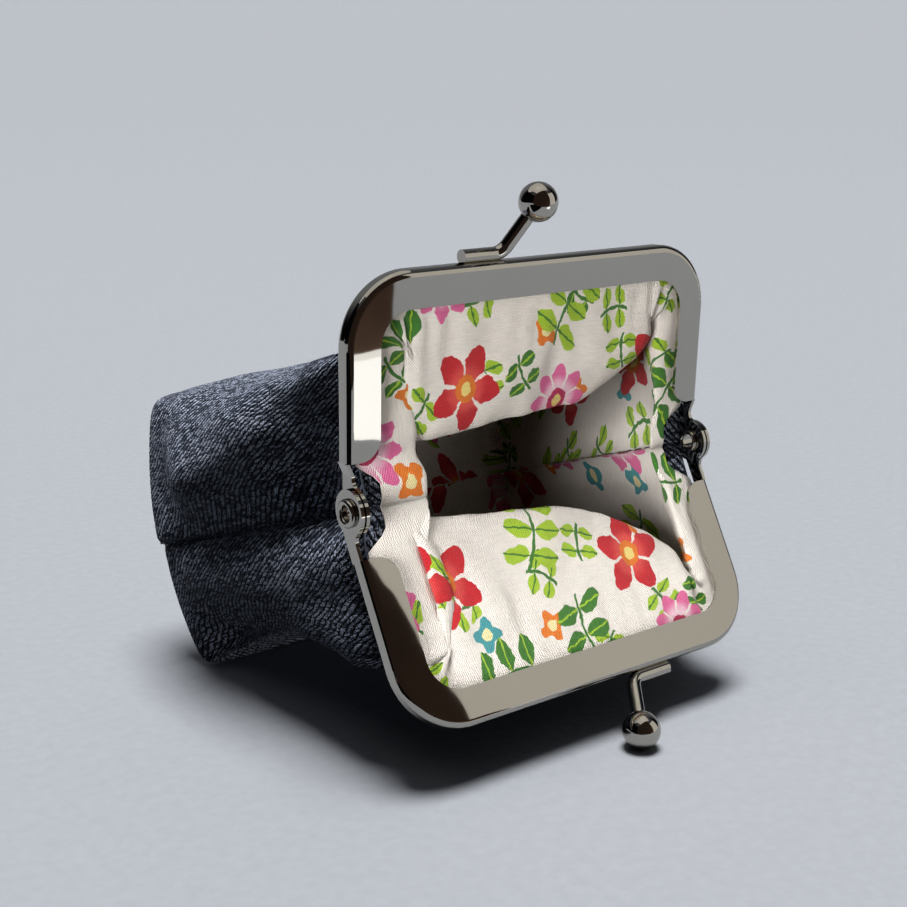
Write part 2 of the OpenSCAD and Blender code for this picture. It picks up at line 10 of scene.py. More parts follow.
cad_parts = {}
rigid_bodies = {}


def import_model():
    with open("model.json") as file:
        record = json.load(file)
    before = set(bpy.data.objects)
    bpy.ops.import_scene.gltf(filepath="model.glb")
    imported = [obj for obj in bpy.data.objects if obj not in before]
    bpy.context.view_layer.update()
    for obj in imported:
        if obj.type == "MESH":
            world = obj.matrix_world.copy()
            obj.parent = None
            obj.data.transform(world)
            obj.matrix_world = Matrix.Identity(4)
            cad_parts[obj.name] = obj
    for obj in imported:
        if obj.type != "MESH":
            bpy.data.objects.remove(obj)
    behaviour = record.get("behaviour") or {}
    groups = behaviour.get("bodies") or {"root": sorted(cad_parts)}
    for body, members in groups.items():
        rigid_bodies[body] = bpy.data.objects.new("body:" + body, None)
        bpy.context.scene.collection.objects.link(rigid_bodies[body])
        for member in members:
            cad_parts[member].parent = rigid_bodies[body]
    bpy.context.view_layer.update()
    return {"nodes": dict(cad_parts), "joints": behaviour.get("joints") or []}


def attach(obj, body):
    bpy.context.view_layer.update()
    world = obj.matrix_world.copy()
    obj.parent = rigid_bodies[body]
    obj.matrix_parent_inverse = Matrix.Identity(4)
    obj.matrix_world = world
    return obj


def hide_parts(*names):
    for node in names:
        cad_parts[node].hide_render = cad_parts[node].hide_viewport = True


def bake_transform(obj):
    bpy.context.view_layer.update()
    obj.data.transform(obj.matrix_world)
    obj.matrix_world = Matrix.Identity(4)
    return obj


bl_info = {
    "name": "Kiss-lock coin purse",
    "version": (1, 0, 0),
    "blender": (4, 5, 0),
    "location": "View3D > Sidebar > Purse",
    "description": "Dresses a kiss-lock coin purse in twill, printed cotton and nickel",
    "category": "Object",
}

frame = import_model()
hinge_joint = frame["joints"][0]
HINGE = np.array(hinge_joint["pos_m"]) * 1000.0
PURSE, UPPER = hinge_joint["parent"], hinge_joint["child"]


def linear(code):
    """An sRGB hex colour as linear red, green and blue."""
    parts = [int(code[i:i + 2], 16) / 255 for i in (1, 3, 5)]
    return tuple(c / 12.92 if c <= 0.04045 else ((c + 0.055) / 1.055) ** 2.4 for c in parts)


def length(name, description, millimetres):
    """A length property, in metres, from a size in millimetres."""
    return bpy.props.FloatProperty(
        name=name, description=description, default=millimetres / 1000, min=0.0, unit="LENGTH", precision=5
    )


def colour(name, description, code):
    """A colour property from an sRGB hex value."""
    return bpy.props.FloatVectorProperty(
        name=name, description=description, default=linear(code), subtype="COLOR", size=3, min=0.0, max=1.0
    )


class PurseFrameSizes(bpy.types.PropertyGroup):
    """Sizes of the half frames, which the cloth is fitted to"""

    width: length("Frame width", "Over the two side bars", 85)
    height: length("Frame height", "Hinge axis to the outside of a top bar", 41)
    flange: length("Channel depth", "Outer edge to the edge of the flanges", 6.8)
    corner: length("Corner radius", "Outside radius of the corners", 13)
    tuck: length("Tuck", "Depth of the cloth in the channel", 4)
    upper_angle: bpy.props.FloatProperty(
        name="Upper half", description="Angle from the bag's axis", default=math.radians(110.7), subtype="ANGLE"
    )
    lower_angle: bpy.props.FloatProperty(
        name="Lower half", description="Angle from the bag's axis", default=math.radians(100.1), subtype="ANGLE"
    )
    tilt: bpy.props.FloatProperty(
        name="Bag tilt", description="Slope of the bag's axis", default=math.radians(18.8274), subtype="ANGLE"
    )


class PurseBagSizes(bpy.types.PropertyGroup):
    """Sizes of the bag and its cloth"""

    base_width: length("Base width", "Width of the boxed base", 88)
    base_up: length("Upper base", "Height of the upper half of the base", 30.5)
    base_down: length("Lower base", "Height of the lower half of the base", 27)
    bag_length: length("Bag length", "Hinge axis to the edges of the base", 67.5)
    outer_thickness: length("Twill thickness", "Thickness of the outer cloth", 0.7)
    lining_thickness: length("Cotton thickness", "Thickness of the lining", 0.4)
    fleece_thickness: length("Fleece thickness", "Thickness of the layer between", 0.8)
    twill_pitch: length("Twill pitch", "Distance between the twill's ribs", 1.0)
    weave_pitch: length("Weave pitch", "Thread spacing of the lining", 0.5)
    print_cell: length("Print cell", "Distance from flower to flower", 25)
    stitch_length: length("Stitch", "Length of a stitch", 2.2)
    stitch_pitch: length("Stitch pitch", "Distance from stitch to stitch", 2.8)
    thread: length("Thread", "Diameter of the sewing thread", 0.36)
    fibre: length("Fibre", "Length of the stray fibres", 1.5)


class PurseColours(bpy.types.PropertyGroup):
    """Colours of the purse's materials"""

    nickel: colour("Nickel", "Plating", "#b3b0a9")
    twill: colour("Twill", "Ground of the outer cloth", "#242a3a")
    fleck: colour("Fleck", "Pale threads of the outer cloth", "#b4bccd")
    slub: colour("Slub", "Thick pale threads of the outer cloth", "#aab0bc")
    cotton: colour("Cotton", "Ground of the lining", "#f8f0e6")
    red: colour("Red", "Large petals", "#cf1c28")
    pink: colour("Pink", "Narrow petals", "#ec74a6")
    orange: colour("Orange", "Flower centres", "#ee8425")
    teal: colour("Teal", "Buds", "#4fa3a8")
    lime: colour("Lime", "Pale leaves", "#b2d136")
    green: colour("Green", "Dark leaves", "#45832c")
    fleece: colour("Fleece", "Layer between the cloths", "#e9e7e1")
    paper: colour("Paper cord", "Cord in the channel", "#b08d62")
    floor: colour("Floor", "Table top", "#95989d")


FACE_GAP = 0.2
SHEET = 0.7
LAYER_PLAY = 0.1
CORD = 0.9
SEAM_GAP = 0.06
SEAM_BLEND = 7.0
CORNER_POWER = 26
BASE_SWELL = 3.5
NECK_B = 9.0
NECK_HALF = 43.0
NECK_LAYER = 4.5
NECK_HANDLE = 16.0
BASE_HANDLE = 20.0
CORNER_CUT = 2.2
HINGE_HEM = 0.6
SHOULDER_DROP = 0.3
SHOULDER_ROUND = 7.0
SLUB_SPACING = 6.4
TWILL_SLANT = math.radians(52)
FLOAT_SHARE = 0.42
SEAM_RECESS = 4.5
NECK_PINCH = 3.5
RIDGE_SLOPE = 0.4
RIDGE_ROUND = 1.2
SEAM_THREAD_OUT = 0.25
FIBRES_PER_METRE = 36000.0
FIBRE_RADIUS = 0.012
TRIM_FROM = 4.5
TRIM_TO = 7.5
LEG_COLS = 30
ARC_COLS = 10
BAR_COLS = 60
TUCK_ROWS = 2
LIP_ROWS = 34
WALL_ROWS = 44


def smooth(low, high, value):
    """Smoothstep of an array."""
    t = np.clip((value - low) / (high - low), 0, 1)
    return t * t * (3 - 2 * t)


class BagShape:
    """The bag's cloth in its own axes: X along the hinge, Y to the base, Z across, in millimetres."""

    def __init__(self, frame_sizes, bag_sizes):
        mm = 1000.0
        self.half_w = frame_sizes.width * mm / 2
        flange = frame_sizes.flange * mm
        corner = frame_sizes.corner * mm
        self.tuck = frame_sizes.tuck * mm
        self.rim_x = self.half_w - flange
        self.rim_r = corner - flange
        self.corner_x = self.half_w - corner
        self.leg_l = frame_sizes.height * mm - corner
        self.arc_l = self.rim_r * math.pi / 2
        self.bar_l = 2 * self.corner_x
        self.rim_l = 2 * (self.leg_l + self.arc_l) + self.bar_l
        self.angles = {1: frame_sizes.upper_angle, -1: frame_sizes.lower_angle}
        self.tilt = frame_sizes.tilt
        self.base_half = bag_sizes.base_width * mm / 2
        self.base_height = {1: bag_sizes.base_up * mm, -1: bag_sizes.base_down * mm}
        self.bag_l = bag_sizes.bag_length * mm
        self.outer_t = bag_sizes.outer_thickness * mm
        self.lining_t = bag_sizes.lining_thickness * mm
        self.fleece_t = bag_sizes.fleece_thickness * mm
        self.lining_n = FACE_GAP + SHEET + 2 * LAYER_PLAY + CORD + self.lining_t / 2
        self.outer_n = self.lining_n + self.lining_t / 2 + LAYER_PLAY + self.outer_t / 2
        leg = self.leg_l * np.linspace(0, 1, LEG_COLS + 1) ** 1.35
        arc = self.leg_l + np.linspace(0, self.arc_l, ARC_COLS + 1)[1:]
        bar = self.leg_l + self.arc_l + np.linspace(0, self.bar_l, BAR_COLS + 1)[1:]
        left = np.concatenate([leg, arc])
        self.columns = np.concatenate([left, bar[:-1], (self.rim_l - left)[::-1]])

    def layer(self, side, kind):
        """The values that shape one cloth of one half."""
        up = side > 0
        neck = 19.5 if up else 12.8
        common = dict(
            side=side, height=self.base_height[side], swell=3.5 if up else 2.3, lean=3.0 if up else 9.0,
            corner=0.93 if up else 0.88, right=0.32
        )
        if kind == "lining":
            inset = self.outer_t / 2 + LAYER_PLAY + self.fleece_t + 0.55 + self.lining_t / 2
            if up:
                neck, common["lean"] = 21.2, 1.3
            return dict(
                common, n=self.lining_n, inset=inset, lip_bar=42.0, lip_corner=10.0, lip_left=22.0, lip_right=8.0,
                fade_left=0.2, fade_right=0.0,
                back_leg=-1.0, back_bar=-1.0, neck_half=NECK_HALF - NECK_LAYER - 0.5, neck_h=neck,
                sag=0.0 if up else 8.6, left=0.02, lean_from=-1.0, trim=1.7
            )
        return dict(
            common, n=self.outer_n, inset=0.0, lip_bar=30.0, lip_corner=4.0, lip_left=6.0, lip_right=3.5,
            fade_left=0.0, fade_right=0.0,
            back_leg=4.0, back_bar=3.0, neck_half=NECK_HALF, neck_h=neck + NECK_LAYER,
            sag=0.0 if up else 8.0, left=0.32, lean_from=0.0, trim=0.0
        )

    def rim(self, d):
        """Rim points at distances d from the left hinge: x, h and the inward direction."""
        right = d > self.rim_l / 2
        m = np.where(right, self.rim_l - d, d)
        sign = np.where(right, -1.0, 1.0)
        turn = np.clip((m - self.leg_l) / self.arc_l, 0, 1) * math.pi / 2
        along = np.clip(m - self.leg_l - self.arc_l, 0, None)
        x = -self.corner_x - self.rim_r * np.cos(turn) + along
        h = np.minimum(m, self.leg_l) + self.rim_r * np.sin(turn)
        return sign * x, h, sign * np.cos(turn), -np.sin(turn)

    def base_ring(self, d, half, height):
        """Points of the base's outline that belong to d: x and height over the seam."""
        right = d > self.rim_l / 2
        m = np.where(right, self.rim_l - d, d)
        sign = np.where(right, -1.0, 1.0)
        share = np.clip((m - self.leg_l) / (self.rim_l / 2 - self.leg_l), 0, 1)
        x = -half * (1 - share)
        w = height * np.clip(m / self.leg_l, 0, 1)
        k = ((np.abs(x) / half) ** CORNER_POWER + (w / height) ** CORNER_POWER) ** (-1 / CORNER_POWER)
        return sign * x * k, w * k

    def wall(self, p):
        """Grid of the middle of a cloth: columns along the rim, rows from the channel to the base."""
        d = self.columns
        angle = self.angles[p["side"]]
        x, h, in_x, in_h = self.rim(d)
        end = np.minimum(d, self.rim_l - d)
        leg = 1 - smooth(self.leg_l * 0.85, self.leg_l + self.arc_l * 0.7, end)
        deepen = np.where(d < self.rim_l / 2, p["left"], p["right"])
        mid = smooth(self.leg_l * 0.9, self.leg_l + self.arc_l + self.bar_l * deepen, end)
        height = p["height"] - p["inset"]
        ring_x, ring_w = self.base_ring(d, self.base_half - p["inset"], height)
        swell = 1 - (ring_w / height) ** 2
        foot = np.stack(
            [ring_x + np.sign(x) * p["swell"] * leg * swell, self.bag_l - p["inset"] + BASE_SWELL * swell, ring_w], 1
        )
        on_left = d < self.rim_l / 2
        fade = np.where(on_left, p["fade_left"], p["fade_right"])
        lip = leg * np.where(on_left, p["lip_left"], p["lip_right"]) * (1 - fade * smooth(0, self.leg_l, h))
        lip = lip + (1 - leg) * (p["lip_corner"] + (p["lip_bar"] - p["lip_corner"]) * mid)
        back = leg * p["back_leg"] + (1 - leg) * p["back_bar"]

        def in_half(px, ph, pn):
            return np.stack(
                [px, ph * math.cos(angle) + pn * math.sin(angle), ph * math.sin(angle) - pn * math.cos(angle)], 1
            )

        free = 1 - smooth(TRIM_FROM, TRIM_TO, h) if p["trim"] else np.zeros_like(h)
        cut = p["trim"] * free * leg
        held = self.tuck * (1 - free) + HINGE_HEM * free
        start = in_half(x + in_x * cut, h + in_h * cut, p["n"])
        curl = in_half(x + in_x * (cut + lip), h + in_h * (cut + lip), p["n"] + back)
        corner_h = start[:, 2] * p["corner"] - p["inset"] * CORNER_CUT
        neck_mid = p["neck_h"] + p["lean"] * np.maximum(x / self.rim_x, p["lean_from"])
        neck_h = leg * start[:, 2] + (1 - leg) * ((1 - mid) * corner_h + mid * neck_mid)
        neck_x = leg * np.sign(x) * p["neck_half"] + (1 - leg) * x * p["neck_half"] / self.rim_x
        neck = np.stack([neck_x, np.full_like(x, NECK_B), np.maximum(neck_h, 0)], 1)
        along = foot - neck
        along /= np.linalg.norm(along, axis=1)[:, None]
        sag = np.zeros_like(foot)
        sag[:, 2] = p["sag"] * (ring_w / height) ** 2

        def bezier(a, b, c, e, t):
            t = t[None, :, None]
            a, b, c, e = (q[:, None, :] for q in (a, b, c, e))
            return (1 - t) ** 3 * a + 3 * t * (1 - t) ** 2 * b + 3 * t * t * (1 - t) * c + t ** 3 * e

        tuck = np.linspace(1, 0, TUCK_ROWS + 1)[:-1]
        tucked = np.stack(
            [in_half(x + in_x * (cut - held * t), h + in_h * (cut - held * t), p["n"]) for t in tuck], 1
        )
        lip_t = np.linspace(0, 1, LIP_ROWS + 1)
        wall_t = np.linspace(0, 1, WALL_ROWS + 1)[1:]
        far = foot - np.array([0, BASE_HANDLE, 0]) - sag
        grid = np.concatenate(
            [
                tucked,
                bezier(start, curl, neck - along * NECK_B * 0.8, neck, lip_t),
                bezier(neck, neck + along * NECK_HANDLE - sag, far, foot, wall_t),
            ],
            1,
        )
        seam = (1 - smooth(0, SEAM_BLEND, h))[:, None]
        grid[:, :, 2] = np.maximum(grid[:, :, 2] * (1 - seam) + seam * SEAM_GAP / 2, SEAM_GAP / 2)
        return grid

    def round_panel(self, side):
        """Distance round the cut panel, from seam to seam, of each column."""
        d = self.columns
        m = np.minimum(d, self.rim_l - d)
        height = self.base_height[side]
        share = np.clip((m - self.leg_l) / (self.rim_l / 2 - self.leg_l), 0, 1)
        near = height * np.clip(m / self.leg_l, 0, 1) + self.base_half * share
        return np.where(d < self.rim_l / 2, near, 2 * (height + self.base_half) - near)

    def dress(self, grid, p):
        """Moves a wall grid as worn cloth lies: hollow seams, a slack ridge, puckers and soft creases."""
        side = p["side"]
        d = self.columns[:, None]
        end = np.minimum(d, self.rim_l - d)
        leg = 1 - smooth(self.leg_l * 0.85, self.leg_l + self.arc_l * 0.7, end)
        x, b, w = grid[..., 0], grid[..., 1], grid[..., 2]
        left = d < self.rim_l / 2
        along = np.clip((b - NECK_B) / (self.bag_l - NECK_B), 0, 1)
        middle = smooth(NECK_B - 1, NECK_B + 12, b) * (1 - smooth(self.bag_l - 10, self.bag_l, b))
        cotton = p["inset"] > 0
        behind = smooth(NECK_B - 7, NECK_B + 3, b) * (1 - smooth(self.bag_l - 10, self.bag_l, b))
        recess = SEAM_RECESS * (1 - 0.75 * along) * behind
        pinch = NECK_PINCH * smooth(*((2.0, 11.0) if cotton else (-3.0, 5.0)), b) * (1 - smooth(NECK_B + 3, NECK_B + 17, b))
        bulge = smooth(NECK_B - 1, NECK_B + 12, b) * (1 - smooth(self.bag_l - 21, self.bag_l - 3, b))
        if side > 0:
            top = p["height"]
            ridge = 21.5 - 18.5 * along + 7.0 * along ** 2
            rise = RIDGE_SLOPE * (top - ridge)
            over = rise * (top - w) / (top - ridge)
            under = rise * w / ridge
            tent = -RIDGE_ROUND * np.log(np.exp(-over / RIDGE_ROUND) + np.exp(-under / RIDGE_ROUND))
            on_left = tent * bulge - recess * np.clip(1 - w / (26.0 - 10.0 * along), 0, 1) ** 1.5
            on_left = on_left - pinch * (1 - smooth(14.0, 27.0, w))
            on_right = 1.2 * np.exp(-(((w - 19) / 8.0) ** 2)) - 2.0 * np.exp(-((w / 8.0) ** 2))
        else:
            on_left = 0.8 * np.exp(-(((w - 9) / 5.0) ** 2)) * middle - (recess + pinch) * np.exp(-((w / 4.0) ** 2))
            on_left = on_left - 7.0 * smooth(12.0, 25.0, w) * smooth(0.2, 0.6, along) * middle
            on_right = 0.8 * np.exp(-(((w - 9) / 6.0) ** 2)) - 2.0 * np.exp(-((w / 5.0) ** 2))
        swell = np.where(left, on_left, on_right * middle) * leg
        moved = grid.copy()
        moved[..., 0] += np.sign(x) * swell
        if side > 0:
            shoulder = np.exp(-(((end - self.leg_l - self.arc_l / 2) / 13.0) ** 2)) * left
            moved[..., 2] -= SHOULDER_DROP * shoulder * smooth(NECK_B - 7, NECK_B + 3, b) * (1 - smooth(0.5, 0.9, along))
        around = self.round_panel(side)
        gap = around[:, None] - around[None, :]
        near = np.exp(-0.5 * (gap / SHOULDER_ROUND) ** 2) * np.gradient(around)[None, :]
        near /= near.sum(1, keepdims=True)
        rounded = np.einsum("ij,jkc->ikc", near, moved)
        at_corner = np.minimum(around, around[-1] - around)[:, None] - self.base_height[side]
        share = np.exp(-((at_corner / (2.4 * SHOULDER_ROUND)) ** 2)) * (1.0 if side > 0 else 0.45)
        share = share * smooth(-4, NECK_B + 3, b) * (1 - smooth(self.bag_l - 26, self.bag_l - 9, b))
        moved = moved + share[..., None] * (rounded - moved)
        normals = grid_normals(moved)
        steps = np.linalg.norm(np.diff(moved, axis=1), axis=2)
        run = np.concatenate([np.zeros((len(grid), 1)), np.cumsum(steps, 1)], 1)
        run = np.maximum(run - run[:, TUCK_ROWS:TUCK_ROWS + 1], 0)
        seed = 17.0 * side + (5.0 if cotton else 0.0)
        soft = field(moved, 0.055, seed, 1.0) * 0.9 + field(moved, 0.13, seed + 40, 0.35) * 0.4
        fold = field(moved, 0.2, seed + 80, 0.3) * 0.4
        corner = np.exp(-(((end - self.leg_l - self.arc_l / 2) / 9.0) ** 2))
        gather = np.sin(d * 1.05 + 2.2 * np.sin(d * 0.23 + seed)) * np.exp(-run / 9.0) * smooth(0.4, 2.5, run)
        pucker = gather * (0.26 + 0.5 * corner)
        free = smooth(1.0, 6.0, run) * (1 - smooth(self.bag_l - 4, self.bag_l + 1, b))
        depth = np.where(b < NECK_B + 4, 1.3, 0.5) if cotton else 0.9
        lift = free * depth * (soft + fold) + pucker
        lift = lift * smooth(0.5, 4.0, w)
        groove = np.exp(-((w / 0.9) ** 2)) * smooth(NECK_B - 6, NECK_B + 2, b)
        lift = lift - groove * (0.3 if cotton else 0.7)
        moved = moved + lift[..., None] * normals
        moved[..., 2] = np.maximum(moved[..., 2], SEAM_GAP / 2)
        moved[(0, -1), :, 2] = SEAM_GAP / 2
        return moved

    def to_table(self, points, side):
        """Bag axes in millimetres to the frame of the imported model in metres."""
        c, s = math.cos(self.tilt), math.sin(self.tilt)
        b, w = points[:, 1], points[:, 2] * side
        return np.stack([points[:, 0], b * c + w * s + HINGE[1], HINGE[2] - b * s + w * c], 1) / 1000


def field(points, scale, seed, stretch):
    """Smooth seeded noise at points, from -1 to 1; stretch below one draws it out along the bag."""
    flat = points.reshape(-1, 3) * np.array((scale, scale * stretch, scale)) + seed
    values = [noise.noise(Vector(q)) for q in flat]
    return np.array(values).reshape(points.shape[:2])


def unit(v):
    """Rows of v scaled to length one."""
    return v / np.maximum(np.linalg.norm(v, axis=-1, keepdims=True), 1e-9)


def grid_normals(grid):
    """Outward directions of a wall grid."""
    across = np.empty_like(grid)
    across[1:-1] = grid[2:] - grid[:-2]
    across[0] = grid[1] - grid[0]
    across[-1] = grid[-1] - grid[-2]
    down = np.empty_like(grid)
    down[:, 1:-1] = grid[:, 2:] - grid[:, :-2]
    down[:, 0] = grid[:, 1] - grid[:, 0]
    down[:, -1] = grid[:, -1] - grid[:, -2]
    n = unit(np.cross(across, down))
    n[:, -1] = unit(n[:, -1] + np.array([0, 1.0, 0]))
    for i in (0, -1):
        n[i, :, 2] = 0
        n[i] = unit(n[i])
    return n


def cloth_mesh(name, shape, grid, side, off_out, off_in, first, grain=1):
    """A sheet of cloth with two skins from a wall grid, its half of the base and its edges.

    Its UV map is in millimetres: round the panel, and along it from the channel to the base.
    """
    cols, rows = grid.shape[0] - 1, grid.shape[1] - 1
    long_cols = cols - 2 * LEG_COLS
    normals = grid_normals(grid)
    inner = np.array(
        [
            [grid[LEG_COLS + i, rows, 0], grid[k, rows, 1], grid[k, rows, 2]]
            for i in range(1, long_cols)
            for k in range(LEG_COLS)
        ]
    )
    up = np.array([0, 1.0, 0])
    skins = [
        np.concatenate([(grid + off * normals).reshape(-1, 3), inner + off * up]) for off in (off_out, off_in)
    ]
    count = len(skins[0])

    def wall_at(i, j):
        return i * (rows + 1) + j

    def base_at(i, k):
        if i == 0:
            return wall_at(k, rows)
        if i == long_cols:
            return wall_at(cols - k, rows)
        if k == LEG_COLS:
            return wall_at(LEG_COLS + i, rows)
        return (cols + 1) * (rows + 1) + (i - 1) * LEG_COLS + k

    steps = np.linalg.norm(np.diff(grid, axis=1), axis=2)
    run = np.concatenate([np.zeros((cols + 1, 1)), np.cumsum(steps, 1)], 1)
    run -= run[:, TUCK_ROWS:TUCK_ROWS + 1]
    d = grain * shape.round_panel(side) + (0.0 if side > 0 else 211.0)
    faces, uvs = [], []
    for i in range(cols):
        for j in range(first, rows):
            faces.append([wall_at(i, j), wall_at(i, j + 1), wall_at(i + 1, j + 1), wall_at(i + 1, j)])
            uvs.append(
                [(d[i], run[i, j]), (d[i], run[i, j + 1]), (d[i + 1], run[i + 1, j + 1]), (d[i + 1], run[i + 1, j])]
            )
    height = grid[LEG_COLS, rows, 2]
    depth = run[LEG_COLS:LEG_COLS + long_cols + 1, rows]
    for i in range(long_cols):
        for k in range(LEG_COLS):
            faces.append([base_at(i, k + 1), base_at(i, k), base_at(i + 1, k), base_at(i + 1, k + 1)])
            uvs.append(
                [
                    (d[LEG_COLS + a], depth[a] + height - grid[b, rows, 2])
                    for a, b in ((i, k + 1), (i, k), (i + 1, k), (i + 1, k + 1))
                ]
            )
    back_faces = [[v + count for v in reversed(f)] for f in faces]
    back_uvs = [list(reversed(u)) for u in uvs]
    edge = [wall_at(i, first) for i in range(cols)]
    edge += [wall_at(cols, j) for j in range(first, rows)]
    edge += [base_at(i, 0) for i in range(long_cols, 0, -1)]
    edge += [wall_at(0, j) for j in range(rows, first, -1)]
    rim_faces, rim_uvs = [], []
    for a, b in zip(edge, edge[1:] + edge[:1]):
        rim_faces.append([a, b, b + count, a + count])
        rim_uvs.append([(0.0, 0.0)] * 4)
    points = shape.to_table(np.concatenate(skins), side)
    all_faces = faces + back_faces + rim_faces
    all_uvs = uvs + back_uvs + rim_uvs
    if side > 0:
        all_faces = [list(reversed(f)) for f in all_faces]
        all_uvs = [list(reversed(u)) for u in all_uvs]
    used = np.unique(np.array(all_faces).ravel())
    index = np.full(len(points), -1)
    index[used] = np.arange(len(used))
    mesh = bpy.data.meshes.new(name)
    mesh.from_pydata(points[used].tolist(), [], index[np.array(all_faces)].tolist())
    layer = mesh.uv_layers.new(name="cloth")
    layer.data.foreach_set("uv", np.array(all_uvs, np.float32).ravel())
    mesh.polygons.foreach_set("use_smooth", [True] * len(mesh.polygons))
    outside = mesh.attributes.new("outside", "BOOLEAN", "FACE")
    outside.data.foreach_set("value", [i < len(faces) for i in range(len(all_faces))])
    mesh.update()
    piece = bpy.data.objects.new(name, mesh)
    bpy.context.scene.collection.objects.link(piece)
    return piece


def hang(piece, side):
    """The lower half's cloth is attached to the bag; the upper half's cloth has its transform baked in, and its vertex
    places are read but not used.
    """
    if side < 0:
        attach(piece, PURSE)
        return
    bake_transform(piece)
    places = np.empty(3 * len(piece.data.vertices), np.float32)
    piece.data.vertices.foreach_get("co", places)


def add_node(tree, kind, inputs=None, **settings):
    """Adds a node, sets its fields, and fills or links its inputs by name or index."""
    made = tree.nodes.new(kind)
    for key, value in settings.items():
        setattr(made, key, value)
    for key, value in (inputs or {}).items():
        socket = made.inputs[key]
        if isinstance(value, bpy.types.NodeSocket):
            tree.links.new(value, socket)
        else:
            socket.default_value = value
    return made


def new_material(name):
    """A material with an empty tree but for its shader and output."""
    made = bpy.data.materials.new(name)
    made.use_nodes = True
    tree = made.node_tree
    tree.nodes.clear()
    shader = add_node(tree, "ShaderNodeBsdfPrincipled")
    add_node(tree, "ShaderNodeOutputMaterial", {"Surface": shader.outputs["BSDF"]})
    return made, tree, shader


def math_node(tree, operation, a, b=0.0, c=0.0, clamp=False):
    """One step of arithmetic on node values."""
    return add_node(tree, "ShaderNodeMath", {0: a, 1: b, 2: c}, operation=operation, use_clamp=clamp).outputs[0]


def step_mask(tree, value, low, high):
    """0 below low, 1 over high and smooth between; low may be the larger one."""
    return add_node(
        tree, "ShaderNodeMapRange", {"Value": value, "From Min": low, "From Max": high}, interpolation_type="SMOOTHSTEP"
    ).outputs[0]


def mix_colour(tree, factor, a, b):
    """Colour b over colour a by a factor."""
    made = add_node(tree, "ShaderNodeMix", data_type="RGBA")
    for socket, value in ((made.inputs[0], factor), (made.inputs[6], a), (made.inputs[7], b)):
        if isinstance(value, bpy.types.NodeSocket):
            tree.links.new(value, socket)
        elif isinstance(value, (int, float)):
            socket.default_value = value
        else:
            socket.default_value = (*value, 1.0)
    return made.outputs[2]


def nickel_plate(colours):
    """Polished nickel on stamped steel: a warm grey mirror, a little wavy from the stamping, with faint wipe marks."""
    material, tree, shader = new_material("polished_nickel")
    place = add_node(tree, "ShaderNodeTexCoord").outputs["Object"]
    haze = add_node(tree, "ShaderNodeTexNoise", {"Vector": place, "Scale": 60.0, "Detail": 2.0}).outputs["Fac"]
    rough = add_node(tree, "ShaderNodeMapRange", {"Value": haze, "To Min": 0.02, "To Max": 0.035}).outputs[0]
    tree.links.new(rough, shader.inputs["Roughness"])
    tone = mix_colour(tree, haze, [c * 0.93 for c in colours.nickel], list(colours.nickel))
    tree.links.new(tone, shader.inputs["Base Color"])
    wave = add_node(tree, "ShaderNodeTexNoise", {"Vector": place, "Scale": 120.0, "Detail": 1.0}).outputs["Fac"]
    bump = add_node(tree, "ShaderNodeBump", {"Height": wave, "Strength": 0.06, "Distance": 0.0004})
    tree.links.new(bump.outputs[0], shader.inputs["Normal"])
    shader.inputs["Metallic"].default_value = 1.0
    return material


